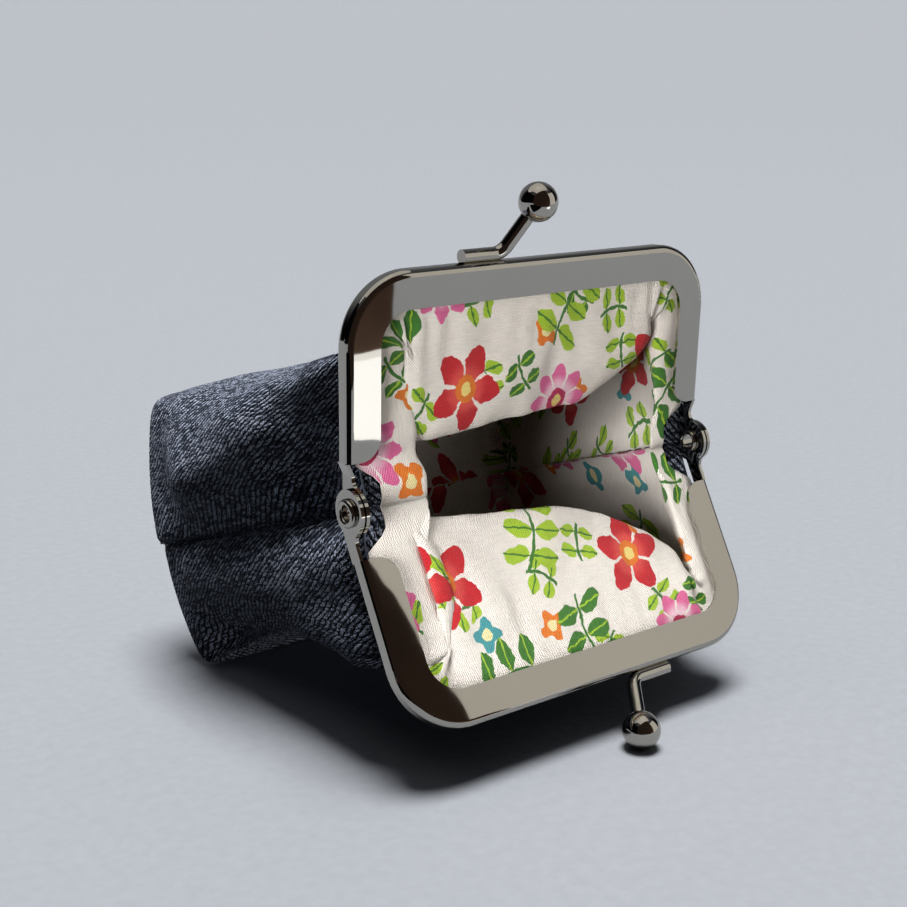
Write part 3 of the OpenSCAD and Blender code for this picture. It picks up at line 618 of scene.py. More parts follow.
def navy_twill(colours, sizes):
    """Cotton twill, dyed navy in the warp: coarse slanting ribs of pale floats, and a slubby pale weft now and then."""
    material, tree, shader = new_material("navy_cotton_twill")
    place = add_node(tree, "ShaderNodeUVMap", uv_map="cloth").outputs[0]
    axes = add_node(tree, "ShaderNodeSeparateXYZ", {0: place})
    pitch = sizes.twill_pitch * 1000
    waver = add_node(tree, "ShaderNodeTexNoise", {"Vector": place, "Scale": 0.5, "Detail": 2.0}).outputs["Fac"]
    slant = math_node(
        tree, "MULTIPLY_ADD", axes.outputs[0], math.sin(TWILL_SLANT) / pitch,
        math_node(tree, "MULTIPLY", axes.outputs[1], math.cos(TWILL_SLANT) / pitch)
    )
    fibre = add_node(tree, "ShaderNodeTexNoise", {"Vector": place, "Scale": 2.6, "Detail": 2.0}).outputs["Fac"]
    across = math_node(tree, "MULTIPLY_ADD", fibre, 0.6, math_node(tree, "MULTIPLY_ADD", waver, 0.7, slant))
    rib = math_node(tree, "FLOOR", across)
    in_rib = math_node(tree, "ABSOLUTE", math_node(tree, "SUBTRACT", math_node(tree, "FRACT", across), 0.5))
    along = math_node(tree, "MULTIPLY_ADD", rib, 0.37, math_node(tree, "DIVIDE", axes.outputs[0], pitch * FLOAT_SHARE))
    float_at = math_node(tree, "FLOOR", along)
    in_float = math_node(tree, "ABSOLUTE", math_node(tree, "SUBTRACT", math_node(tree, "FRACT", along), 0.5))
    ridge = step_mask(tree, in_rib, 0.46, 0.16)
    bead = step_mask(tree, in_float, 0.56, 0.16)
    knot = math_node(tree, "MULTIPLY", ridge, math_node(tree, "MULTIPLY_ADD", bead, 0.2, 0.8))
    pair = add_node(tree, "ShaderNodeCombineXYZ", {0: rib, 1: float_at}).outputs[0]
    chance = add_node(tree, "ShaderNodeTexWhiteNoise", {"Vector": pair}, noise_dimensions="2D").outputs[0]
    row = math_node(tree, "DIVIDE", axes.outputs[0], SLUB_SPACING)
    row_chance = add_node(
        tree, "ShaderNodeTexWhiteNoise", {"W": math_node(tree, "FLOOR", row)}, noise_dimensions="1D"
    ).outputs[0]
    in_row = math_node(tree, "ABSOLUTE", math_node(tree, "SUBTRACT", math_node(tree, "FRACT", row), 0.5))
    slub = math_node(tree, "MULTIPLY", step_mask(tree, in_row, 0.075, 0.035), step_mask(tree, row_chance, 0.2, 0.6))
    slub = math_node(tree, "MULTIPLY", slub, step_mask(tree, chance, 0.45, 0.75))
    cloud = add_node(tree, "ShaderNodeTexNoise", {"Vector": place, "Scale": 0.16, "Detail": 3.0}).outputs["Fac"]
    speck = add_node(tree, "ShaderNodeTexNoise", {"Vector": place, "Scale": 3.0, "Detail": 3.0}).outputs["Fac"]
    glint = math_node(tree, "MULTIPLY_ADD", math_node(tree, "POWER", chance, 1.6), 3.6, 0.2)
    glint = math_node(tree, "MULTIPLY", glint, math_node(tree, "ADD", cloud, 0.3))
    glint = math_node(tree, "MULTIPLY", glint, step_mask(tree, speck, 0.42, 0.6))
    show = math_node(tree, "MULTIPLY", knot, glint, clamp=True)
    # Painted shade in the grooves: between the ribs the navy is darkened almost to black.
    ground = mix_colour(tree, knot, [c * 0.12 for c in colours.twill], list(colours.twill))
    tone = mix_colour(tree, show, ground, list(colours.fleck))
    tone = mix_colour(tree, math_node(tree, "MULTIPLY", slub, ridge), tone, list(colours.slub))
    tree.links.new(tone, shader.inputs["Base Color"])
    height = math_node(tree, "MULTIPLY_ADD", speck, 0.35, knot)
    bump = add_node(tree, "ShaderNodeBump", {"Height": height, "Strength": 1.0, "Distance": 0.0003})
    tree.links.new(bump.outputs[0], shader.inputs["Normal"])
    shader.inputs["Roughness"].default_value = 0.75
    shader.inputs["Specular IOR Level"].default_value = 0.12
    shader.inputs["Sheen Weight"].default_value = 0.04
    shader.inputs["Sheen Roughness"].default_value = 0.4
    shader.inputs["Sheen Tint"].default_value = (*linear("#c3cad8"), 1.0)
    return material


def printed_cotton(colours, sizes):
    """Plain-woven cotton with a scattered flower print: fine threads, soft sheen, and colours darker where the weave
    and threads sit low, which is painted shade, with uneven thread tone.
    """
    material, tree, shader = new_material("printed_cotton")
    place = add_node(tree, "ShaderNodeUVMap", uv_map="cloth").outputs[0]
    cell = sizes.print_cell * 1000
    wobble = add_node(tree, "ShaderNodeTexNoise", {"Vector": place, "Scale": 0.7, "Detail": 2.0}).outputs["Color"]
    wobble = add_node(tree, "ShaderNodeVectorMath", {0: wobble, 1: (0.5, 0.5, 0.5)}, operation="SUBTRACT").outputs[0]
    loose = add_node(
        tree, "ShaderNodeVectorMath", {0: wobble, 1: (1.1, 1.1, 0.0), 2: place}, operation="MULTIPLY_ADD"
    ).outputs[0]

    def scatter(size, offset, randomness):
        scaled = add_node(
            tree, "ShaderNodeVectorMath", {0: loose, 1: (1 / size, 1 / size, 0), 2: (*offset, 0)}, operation="MULTIPLY_ADD"
        ).outputs[0]
        spots = add_node(
            tree, "ShaderNodeTexVoronoi", {"Vector": scaled, "Scale": 1.0, "Randomness": randomness},
            voronoi_dimensions="2D", feature="F1"
        )
        local = add_node(
            tree, "ShaderNodeVectorMath", {0: scaled, 1: spots.outputs["Position"]}, operation="SUBTRACT"
        ).outputs[0]
        chance = add_node(tree, "ShaderNodeSeparateColor", {0: spots.outputs["Color"]})
        turned = add_node(
            tree, "ShaderNodeVectorRotate",
            {"Vector": local, "Angle": math_node(tree, "MULTIPLY", chance.outputs[0], 6.283)}, rotation_type="Z_AXIS"
        ).outputs[0]
        axes = add_node(tree, "ShaderNodeSeparateXYZ", {0: turned})
        x = math_node(tree, "MULTIPLY", axes.outputs[0], size)
        y = math_node(tree, "MULTIPLY", axes.outputs[1], size)
        return x, y, chance.outputs[1], chance.outputs[2]

    def polar(x, y):
        r = math_node(tree, "SQRT", math_node(tree, "MULTIPLY_ADD", x, x, math_node(tree, "MULTIPLY", y, y)))
        return r, math_node(tree, "ARCTAN2", y, x)

    def between(value, low, high):
        return math_node(
            tree, "MULTIPLY", math_node(tree, "GREATER_THAN", value, low), math_node(tree, "LESS_THAN", value, high)
        )

    def leaf_pairs(x, y, reach, step, leaf, width):
        side = math_node(tree, "ABSOLUTE", y)
        local = math_node(tree, "SUBTRACT", math_node(tree, "PINGPONG", math_node(tree, "ADD", x, reach), step), step / 2)
        slant = math_node(tree, "SUBTRACT", side, math_node(tree, "MULTIPLY", local, 0.35))
        t = math_node(tree, "DIVIDE", math_node(tree, "SUBTRACT", slant, leaf / 2 + 0.25), leaf / 2)
        edge = math_node(tree, "MULTIPLY_ADD", math_node(tree, "MULTIPLY", t, t), -width, width)
        inside = math_node(tree, "SUBTRACT", edge, math_node(tree, "ABSOLUTE", local))
        within = math_node(tree, "LESS_THAN", math_node(tree, "ABSOLUTE", x), reach)
        blade = math_node(tree, "MULTIPLY", step_mask(tree, inside, 0.0, 0.16), within)
        stem = math_node(tree, "MULTIPLY", step_mask(tree, side, 0.42, 0.26), within)
        vein = math_node(tree, "MULTIPLY", step_mask(tree, math_node(tree, "ABSOLUTE", local), 0.26, 0.12), blade)
        return blade, stem, vein

    def petals(r, angle, count, radius, notch):
        lobes = math_node(tree, "COSINE", math_node(tree, "MULTIPLY", angle, float(count)))
        outline = math_node(tree, "MULTIPLY_ADD", lobes, radius * notch, radius * (1 - notch))
        whole = step_mask(tree, math_node(tree, "SUBTRACT", outline, r), 0.0, 0.16)
        split = step_mask(tree, lobes, -0.96, -0.86)
        return whole, split

    tone = list(colours.cotton)
    x, y, pick, shade = scatter(cell * 0.58, (0.37, 0.11), 0.8)
    bent = math_node(tree, "MULTIPLY_ADD", math_node(tree, "MULTIPLY", x, x), -0.06, y)
    blade, stem, vein = leaf_pairs(x, bent, 3.9, 3.9, 4.4, 1.5)
    keep = between(pick, -0.01, 0.62)
    tone = mix_colour(tree, math_node(tree, "MULTIPLY", stem, keep), tone, list(colours.green))
    dark = math_node(tree, "GREATER_THAN", shade, 0.62)
    leaf = mix_colour(tree, dark, list(colours.lime), list(colours.green))
    rib = mix_colour(tree, dark, list(colours.green), list(colours.lime))
    tone = mix_colour(tree, math_node(tree, "MULTIPLY", blade, keep), tone, leaf)
    tone = mix_colour(tree, math_node(tree, "MULTIPLY", vein, keep), tone, rib)
    r, angle = polar(x, y)
    bud, split = petals(r, angle, 4, 3.4, 0.2)
    bud = math_node(tree, "MULTIPLY", bud, between(pick, 0.62, 0.8))
    bud_tone = mix_colour(tree, math_node(tree, "GREATER_THAN", shade, 0.5), list(colours.teal), list(colours.orange))
    tone = mix_colour(tree, bud, tone, bud_tone)
    bud_eye = math_node(tree, "MULTIPLY", bud, step_mask(tree, r, 1.2, 1.0))
    tone = mix_colour(tree, bud_eye, tone, linear("#f7e7b0"))

    x, y, pick, shade = scatter(cell, (0.05, 0.42), 0.55)
    r, angle = polar(x, y)
    sprig = between(pick, 0.66, 1.01)
    bent = math_node(tree, "MULTIPLY_ADD", math_node(tree, "MULTIPLY", x, x), 0.03, y)
    blade, stem, vein = leaf_pairs(x, bent, 8.0, 5.3, 6.6, 2.1)
    dark = math_node(tree, "GREATER_THAN", shade, 0.45)
    leaf = mix_colour(tree, dark, list(colours.lime), list(colours.green))
    rib = mix_colour(tree, dark, list(colours.green), list(colours.lime))
    tone = mix_colour(tree, math_node(tree, "MULTIPLY", stem, sprig), tone, list(colours.green))
    tone = mix_colour(tree, math_node(tree, "MULTIPLY", blade, sprig), tone, leaf)
    tone = mix_colour(tree, math_node(tree, "MULTIPLY", vein, sprig), tone, rib)
    flower = between(pick, -0.01, 0.66)
    red = math_node(tree, "LESS_THAN", pick, 0.34)
    five, five_split = petals(r, angle, 5, 8.6, 0.19)
    eight, eight_split = petals(r, angle, 8, 7.6, 0.13)
    whole = add_node(tree, "ShaderNodeMix", {0: red, 2: eight, 3: five}).outputs[0]
    split = add_node(tree, "ShaderNodeMix", {0: red, 2: eight_split, 3: five_split}).outputs[0]
    petal = mix_colour(tree, red, list(colours.pink), list(colours.red))
    inner = mix_colour(tree, red, linear("#f9d3de"), linear("#e8564f"))
    petal = mix_colour(tree, step_mask(tree, r, 5.6, 3.0), petal, inner)
    petal = mix_colour(tree, split, list(colours.cotton), petal)
    tone = mix_colour(tree, math_node(tree, "MULTIPLY", whole, flower), tone, petal)
    eye = math_node(tree, "MULTIPLY", step_mask(tree, r, 2.7, 2.5), flower)
    tone = mix_colour(tree, eye, tone, mix_colour(tree, red, linear("#c22a5c"), list(colours.orange)))
    pip = math_node(tree, "MULTIPLY", step_mask(tree, r, 1.4, 1.2), flower)
    tone = mix_colour(tree, pip, tone, linear("#f8e08a"))

    axes = add_node(tree, "ShaderNodeSeparateXYZ", {0: place})
    pitch = sizes.weave_pitch * 1000
    warp = math_node(tree, "SINE", math_node(tree, "MULTIPLY", axes.outputs[0], 2 * math.pi / pitch))
    weft = math_node(tree, "SINE", math_node(tree, "MULTIPLY", axes.outputs[1], 2 * math.pi / pitch))
    weave = math_node(tree, "MULTIPLY", warp, weft)
    thread = add_node(
        tree, "ShaderNodeTexNoise",
        {"Vector": add_node(
            tree, "ShaderNodeVectorMath", {0: place, 1: (0.35, 2.4, 1.0)}, operation="MULTIPLY"
        ).outputs[0], "Scale": 1.0, "Detail": 2.0}
    ).outputs["Fac"]
    # Painted shade: the print is darkened where the weave and threads sit low, along with uneven thread tone.
    weave_shade_and_thread_tone = math_node(tree, "MULTIPLY_ADD", weave, 0.24, math_node(tree, "MULTIPLY_ADD", thread, 0.4, 0.74), clamp=True)
    shadow = mix_colour(tree, 1.0, tone, tone)
    shadow.node.blend_type = "MULTIPLY"
    tree.links.new(weave_shade_and_thread_tone, shadow.node.inputs[7])
    tree.links.new(shadow, shader.inputs["Base Color"])
    height = math_node(tree, "MULTIPLY_ADD", thread, 0.6, weave)
    bump = add_node(tree, "ShaderNodeBump", {"Height": height, "Strength": 0.9, "Distance": 0.00025})
    tree.links.new(bump.outputs[0], shader.inputs["Normal"])
    shader.inputs["Roughness"].default_value = 0.62
    shader.inputs["Specular IOR Level"].default_value = 0.3
    shader.inputs["Sheen Weight"].default_value = 0.12
    shader.inputs["Subsurface Weight"].default_value = 0.0
    return material


def soft_fleece(colours):
    """Needled polyester fleece: white, matt and matted in random fibres."""
    material, tree, shader = new_material("polyester_fleece")
    place = add_node(tree, "ShaderNodeTexCoord").outputs["Object"]
    fibre = add_node(
        tree, "ShaderNodeTexNoise", {"Vector": place, "Scale": 1400.0, "Detail": 5.0, "Distortion": 1.5}
    ).outputs["Fac"]
    tree.links.new(
        mix_colour(tree, fibre, [c * 0.75 for c in colours.fleece], list(colours.fleece)), shader.inputs["Base Color"]
    )
    bump = add_node(tree, "ShaderNodeBump", {"Height": fibre, "Strength": 0.6, "Distance": 0.0003})
    tree.links.new(bump.outputs[0], shader.inputs["Normal"])
    shader.inputs["Roughness"].default_value = 0.95
    return material


def twisted_paper(colours):
    """Twisted kraft paper cord: buff, with slanting creases about 1.5 mm apart."""
    material, tree, shader = new_material("twisted_kraft_paper")
    place = add_node(tree, "ShaderNodeTexCoord").outputs["Object"]
    crease = add_node(
        tree, "ShaderNodeTexWave", {"Vector": place, "Scale": 210.0, "Distortion": 2.0, "Detail": 2.0},
        bands_direction="DIAGONAL"
    ).outputs["Fac"]
    # Painted shade in the creases: the cord is darker where they dip.
    tree.links.new(
        mix_colour(tree, crease, [c * 0.6 for c in colours.paper], list(colours.paper)), shader.inputs["Base Color"]
    )
    bump = add_node(tree, "ShaderNodeBump", {"Height": crease, "Strength": 0.8, "Distance": 0.0002})
    tree.links.new(bump.outputs[0], shader.inputs["Normal"])
    shader.inputs["Roughness"].default_value = 0.8
    return material


def spun_thread(name, tone):
    """Spun polyester sewing thread: matt, with a tight twist that shows as fine slanting plies."""
    material, tree, shader = new_material(name)
    place = add_node(tree, "ShaderNodeTexCoord").outputs["Object"]
    ply = add_node(
        tree, "ShaderNodeTexWave", {"Vector": place, "Scale": 700.0, "Distortion": 1.0}, bands_direction="DIAGONAL"
    ).outputs["Fac"]
    # Painted shade between the plies: the thread is darker where the twist dips.
    tree.links.new(mix_colour(tree, ply, [c * 0.6 for c in tone], list(tone)), shader.inputs["Base Color"])
    bump = add_node(tree, "ShaderNodeBump", {"Height": ply, "Strength": 0.7, "Distance": 0.0001})
    tree.links.new(bump.outputs[0], shader.inputs["Normal"])
    shader.inputs["Roughness"].default_value = 0.75
    return material


def table_top(colours):
    """Matt card on the table: pale blue-grey with a fine soft grain."""
    material, tree, shader = new_material("pale_card")
    place = add_node(tree, "ShaderNodeTexCoord").outputs["Object"]
    grain = add_node(tree, "ShaderNodeTexNoise", {"Vector": place, "Scale": 420.0, "Detail": 6.0}).outputs["Fac"]
    tone = mix_colour(tree, grain, [c * 0.9 for c in colours.floor], [min(1, c * 1.06) for c in colours.floor])
    tree.links.new(tone, shader.inputs["Base Color"])
    bump = add_node(tree, "ShaderNodeBump", {"Height": grain, "Strength": 0.25, "Distance": 0.0006})
    tree.links.new(bump.outputs[0], shader.inputs["Normal"])
    shader.inputs["Roughness"].default_value = 0.9
    return material


def flocked(name, dark, pale):
    """Flocked board beside the camera: little light comes back from it, so it shows in the metal as a painted dark
    reflection.
    """
    material, tree, shader = new_material(name)
    place = add_node(tree, "ShaderNodeTexCoord").outputs["Object"]
    nap = add_node(tree, "ShaderNodeTexNoise", {"Vector": place, "Scale": 30.0, "Detail": 3.0}).outputs["Fac"]
    tree.links.new(mix_colour(tree, nap, linear(dark), linear(pale)), shader.inputs["Base Color"])
    shader.inputs["Roughness"].default_value = 1.0
    shader.inputs["Specular IOR Level"].default_value = 0.0
    return material


def glowing_grey_flat():
    """A flat that glows a warm, even grey though it is no lamp, standing across the room for the metal to mirror: a
    painted reflection of a wall.
    """
    material, tree, shader = new_material("glowing_grey_flat")
    place = add_node(tree, "ShaderNodeTexCoord").outputs["Object"]
    brush = add_node(tree, "ShaderNodeTexNoise", {"Vector": place, "Scale": 6.0, "Detail": 3.0}).outputs["Fac"]
    tone = mix_colour(tree, brush, linear("#cfcbc3"), linear("#dbd7cf"))
    tree.links.new(tone, shader.inputs["Base Color"])
    # It glows with its own grey, not as a lamp: a pale painted reflection for the metal.
    tree.links.new(tone, shader.inputs["Emission Color"])
    shader.inputs["Emission Strength"].default_value = 0.85
    shader.inputs["Roughness"].default_value = 0.9
    return material


def node_group(name, sizes):
    """An empty geometry tree with a geometry in and out, lengths as named inputs, and a material."""
    tree = bpy.data.node_groups.new(name, "GeometryNodeTree")
    tree.interface.new_socket("Geometry", in_out="INPUT", socket_type="NodeSocketGeometry")
    for size in sizes:
        tree.interface.new_socket(size, in_out="INPUT", socket_type="NodeSocketFloat")
    tree.interface.new_socket("Material", in_out="INPUT", socket_type="NodeSocketMaterial")
    tree.interface.new_socket("Geometry", in_out="OUTPUT", socket_type="NodeSocketGeometry")
    return tree, add_node(tree, "NodeGroupInput").outputs


def close_group(tree, instances, material):
    """Ends a tree: real mesh, smooth faces and a material."""
    real = add_node(tree, "GeometryNodeRealizeInstances", {0: instances}).outputs[0]
    smoothed = add_node(tree, "GeometryNodeSetShadeSmooth", {0: real}).outputs[0]
    dressed = add_node(tree, "GeometryNodeSetMaterial", {"Geometry": smoothed, "Material": material}).outputs[0]
    add_node(tree, "NodeGroupOutput", {0: dressed})


def strand(tree, points, radius, steps, sides):
    """A round strand along a bent line, as a mesh with closed ends."""
    line = add_node(
        tree, "GeometryNodeCurveQuadraticBezier",
        {"Resolution": steps, "Start": points[0], "Middle": points[1], "End": points[2]}
    ).outputs[0]
    ring = add_node(
        tree, "GeometryNodeCurvePrimitiveCircle", {"Resolution": sides, "Radius": radius}, mode="RADIUS"
    ).outputs[0]
    return add_node(
        tree, "GeometryNodeCurveToMesh", {"Curve": line, "Profile Curve": ring, "Fill Caps": True}
    ).outputs[0]


def sewn_stitches():
    """Geometry tree: a seam line in, a row of arched thread stitches out."""
    tree, given = node_group("sewn_stitches", ("Pitch", "Stitch", "Thread"))
    seam = add_node(tree, "GeometryNodeMeshToCurve", {0: given["Geometry"]}).outputs[0]
    places = add_node(
        tree, "GeometryNodeCurveToPoints", {"Curve": seam, "Length": given["Pitch"]}, mode="LENGTH"
    ).outputs
    turned = add_node(tree, "FunctionNodeAlignRotationToVector", {"Vector": places["Tangent"]}, axis="X").outputs[0]
    half = math_node(tree, "MULTIPLY", given["Stitch"], 0.5)
    start = add_node(tree, "ShaderNodeCombineXYZ", {0: math_node(tree, "MULTIPLY", half, -1.0)}).outputs[0]
    top = add_node(tree, "ShaderNodeCombineXYZ", {2: given["Thread"]}).outputs[0]
    end = add_node(tree, "ShaderNodeCombineXYZ", {0: half}).outputs[0]
    thread = strand(tree, (start, top, end), math_node(tree, "MULTIPLY", given["Thread"], 0.5), 6, 6)
    row = add_node(
        tree, "GeometryNodeInstanceOnPoints", {"Points": places["Points"], "Instance": thread, "Rotation": turned}
    ).outputs[0]
    close_group(tree, row, given["Material"])
    return tree


def loose_fibres():
    """Geometry tree: a cloth in, short stray fibres standing off its outer skin out."""
    tree, given = node_group("loose_fibres", ("Density", "Length", "Thickness"))
    skin = add_node(tree, "GeometryNodeInputNamedAttribute", {"Name": "outside"}, data_type="BOOLEAN").outputs[0]
    spread = add_node(
        tree, "GeometryNodeDistributePointsOnFaces",
        {"Mesh": given["Geometry"], "Selection": skin, "Density": given["Density"], "Seed": 11},
        distribute_method="RANDOM"
    ).outputs
    spin = add_node(
        tree, "FunctionNodeRandomValue", {"Min": (-0.7, -0.7, 0.0), "Max": (0.7, 0.7, 6.283), "Seed": 3},
        data_type="FLOAT_VECTOR"
    ).outputs[0]
    turned = add_node(
        tree, "FunctionNodeRotateRotation",
        {0: spread["Rotation"], 1: add_node(tree, "FunctionNodeEulerToRotation", {0: spin}).outputs[0]},
        rotation_space="LOCAL"
    ).outputs[0]
    size = add_node(tree, "FunctionNodeRandomValue", {2: 0.3, 3: 1.0, "Seed": 5}, data_type="FLOAT").outputs[1]
    bend = add_node(tree, "ShaderNodeCombineXYZ", {2: math_node(tree, "MULTIPLY", given["Length"], 0.6)}).outputs[0]
    tip = add_node(
        tree, "ShaderNodeCombineXYZ",
        {0: math_node(tree, "MULTIPLY", given["Length"], 0.7), 2: math_node(tree, "MULTIPLY", given["Length"], 0.5)}
    ).outputs[0]
    fibre = strand(tree, ((0.0, 0.0, 0.0), bend, tip), given["Thickness"], 3, 3)
    grown = add_node(
        tree, "GeometryNodeInstanceOnPoints",
        {"Points": spread["Points"], "Instance": fibre, "Rotation": turned, "Scale": size}
    ).outputs[0]
    close_group(tree, grown, given["Material"])
    return tree


def grow(name, mesh, tree, values):
    """Runs a geometry tree on a mesh, and gives the result as a plain piece."""
    source = bpy.data.objects.new(f"{name}_source", mesh)
    bpy.context.scene.collection.objects.link(source)
    modifier = source.modifiers.new("grown", "NODES")
    modifier.node_group = tree
    for socket in tree.interface.items_tree:
        if socket.in_out == "INPUT" and socket.name in values:
            modifier[socket.identifier] = values[socket.name]
    graph = bpy.context.evaluated_depsgraph_get()
    made = bpy.data.meshes.new_from_object(source.evaluated_get(graph), depsgraph=graph)
    source.modifiers.remove(modifier)
    bpy.data.objects.remove(source)
    made.name = name
    piece = bpy.data.objects.new(name, made)
    bpy.context.scene.collection.objects.link(piece)
    return piece


def settings():
    """The property groups on the scene."""
    scene = bpy.context.scene
    return scene.purse_frame, scene.purse_bag, scene.purse_colours


class PURSE_OT_stage(bpy.types.Operator):
    """Camera at the photograph's angle, soft studio lights and a pale sweep of card"""

    bl_idname = "purse.stage"
    bl_label = "Stage"

    def execute(self, context):
        scene = context.scene
        colours = settings()[2]
        camera = bpy.data.objects.new("camera", bpy.data.cameras.new("camera"))
        scene.collection.objects.link(camera)
        camera.data.sensor_width = 36.0
        camera.data.lens = 55.09
        camera.location = np.array((-164.18, -193.58 + HINGE[1], 119.74 - 47.48 + HINGE[2])) / 1000
        ahead = Vector((0.5768, 0.7741, -0.2608))
        camera.rotation_mode = "QUATERNION"
        camera.rotation_quaternion = ahead.to_track_quat("-Z", "Y")
        camera.data.clip_start = 0.01
        scene.camera = camera

        slope = np.linspace(0, 1, 12)
        profile = [(-1.5, 0.0), (0.5, 0.0)]
        profile += [(0.5 + 0.8 * t, 0.8 * t * t * 0.11) for t in slope[1:]]
        profile += [(4.5, 0.088 + 3.2 * 0.22)]
        turn = math.atan2(ahead.y, ahead.x)
        forward = np.array((math.cos(turn), math.sin(turn), 0))
        sideways = np.array((-math.sin(turn), math.cos(turn), 0))
        points = [forward * u + sideways * v + np.array((0, 0, z)) for u, z in profile for v in (-2.5, 2.5)]
        faces = [(2 * i, 2 * i + 1, 2 * i + 3, 2 * i + 2) for i in range(len(profile) - 1)]
        mesh = bpy.data.meshes.new("card_sweep")
        mesh.from_pydata([tuple(p) for p in points], [], [tuple(reversed(f)) for f in faces])
        mesh.polygons.foreach_set("use_smooth", [True] * len(mesh.polygons))
        mesh.materials.append(table_top(colours))
        floor = bpy.data.objects.new("card_sweep", mesh)
        scene.collection.objects.link(floor)

        floor.visible_diffuse = False
        for name, energy, spread, toward in (
            ("overhead_softbox", 4.3, 26, (-0.04, -0.03, -1.0)),
            ("back_left_softbox", 0.1, 24, (0.42, -0.35, -0.84)),
        ):
            lamp = bpy.data.lights.new(name, "SUN")
            lamp.energy = energy
            lamp.angle = math.radians(spread)
            lamp_object = bpy.data.objects.new(name, lamp)
            scene.collection.objects.link(lamp_object)
            lamp_object.rotation_mode = "QUATERNION"
            lamp_object.rotation_quaternion = Vector(toward).to_track_quat("-Z", "Y")

        strip = bpy.data.lights.new("low_strip", "AREA")
        strip.shape = "RECTANGLE"
        strip.size = 0.12
        strip.size_y = 0.07
        strip.energy = 0.038
        strip_object = bpy.data.objects.new("low_strip", strip)
        scene.collection.objects.link(strip_object)
        strip_object.location = (0.092, -0.222, 0.003)
        strip_object.rotation_euler = (math.pi, 0, math.radians(-54))

        glowing_coat = glowing_grey_flat()
        brown = flocked("brown_flock", "#5a4a40", "#80695c")
        black = flocked("black_flock", "#08080a", "#121214")
        inside = bpy.data.collections.new("inside_of_the_mouth")
        for name, energy, receivers in (
            ("outer_softbox", 0.6, "outside_of_the_bag"),
            ("upper_softbox", 0.6, "upper_side_of_the_bag"),
        ):
            lamp = bpy.data.lights.new(name, "SUN")
            lamp.energy = energy
            lamp.angle = math.radians(16)
            lamp_object = bpy.data.objects.new(name, lamp)
            scene.collection.objects.link(lamp_object)
            lamp_object.rotation_mode = "QUATERNION"
            lamp_object.rotation_quaternion = Vector((0.3, -0.42, -0.86)).to_track_quat("-Z", "Y")
            lamp_object.light_linking.receiver_collection = bpy.data.collections.new(receivers)

        for name, energy, place, toward in (
            ("left_mouth_fill", 2.0, (-0.36, -0.17, 0.1), (0.395, 0.15, -0.045)),
            ("low_mouth_fill", 0.32, (0.06, -0.36, 0.03), (-0.05, 0.34, 0.03)),
        ):
            lamp = bpy.data.lights.new(name, "AREA")
            lamp.size = 0.16
            lamp.energy = energy
            lamp_object = bpy.data.objects.new(name, lamp)
            scene.collection.objects.link(lamp_object)
            lamp_object.location = place
            lamp_object.rotation_mode = "QUATERNION"
            lamp_object.rotation_quaternion = Vector(toward).to_track_quat("-Z", "Y")
            lamp_object.light_linking.receiver_collection = inside

        # Cards seen only in reflections: the flocked ones are painted dark reflections, the glowing flats painted pale
        # ones.
        for name, coat, corner, across, up in (
            ("brown_flag", brown, (-0.6, -0.265, 0), (0.733, 0, 0), (0, 0, 0.6)),
            ("black_board", black, (-0.5, -0.3, 0.0005), (0.42, 0, 0), (0, 0.26, 0)),
            ("glowing_grey_flat", glowing_coat, (0.12, -0.62, 0), (0.63, 0.32, 0), (0, 0, 0.6)),
            ("ceiling_flat", glowing_coat, (-0.5, -0.4, 0.9), (0, 1.0, 0), (1.0, 0, 0)),
        ):
            a, b, c = (np.array(v) for v in (corner, across, up))
            card = bpy.data.meshes.new(name)
            card.from_pydata([tuple(v) for v in (a, a + b, a + b + c, a + c)], [], [(0, 1, 2, 3)])
            card.materials.append(coat)
            flag = bpy.data.objects.new(name, card)
            scene.collection.objects.link(flag)
            flag.visible_camera = False
            flag.visible_diffuse = False
            flag.visible_shadow = False

        world = bpy.data.worlds.new("studio")
        world.use_nodes = True
        tree = world.node_tree
        tree.nodes.clear()
        place = add_node(tree, "ShaderNodeTexCoord").outputs["Generated"]
        axes = add_node(tree, "ShaderNodeSeparateXYZ", {0: place})
        to_front = math_node(tree, "MULTIPLY", axes.outputs[1], -1.0)
        height = math_node(tree, "MULTIPLY_ADD", to_front, 0.2, axes.outputs[2])
        to_right = math_node(tree, "MULTIPLY_ADD", axes.outputs[0], 0.45, math_node(tree, "MULTIPLY", to_front, 0.9))
        left = math_node(tree, "MULTIPLY_ADD", axes.outputs[0], -0.95, math_node(tree, "MULTIPLY", to_front, 0.1))
        shade = step_mask(tree, left, 0.05, 0.45)
        low = mix_colour(tree, step_mask(tree, to_right, 0.25, 0.9), linear("#8c8d90"), (1.3, 1.27, 1.22))
        low = mix_colour(tree, shade, low, linear("#63676c"))
        low = mix_colour(tree, step_mask(tree, axes.outputs[2], -0.45, -0.85), low, linear("#101216"))
        sky = mix_colour(tree, step_mask(tree, to_front, -0.4, 0.1), linear("#85878b"), linear("#181a1e"))
        sky = mix_colour(tree, shade, sky, linear("#0c0d10"))
        tone = mix_colour(tree, step_mask(tree, axes.outputs[2], -0.08, 0.02), low, sky)
        tone = mix_colour(tree, step_mask(tree, height, 0.6, 0.85), tone, linear("#5e6064"))
        back = add_node(tree, "ShaderNodeBackground", {"Color": tone, "Strength": 1.0})
        add_node(tree, "ShaderNodeOutputWorld", {"Surface": back.outputs[0]})
        scene.world = world
        scene.view_settings.view_transform = "Standard"
        scene.view_settings.look = "Medium High Contrast"
        return {"FINISHED"}


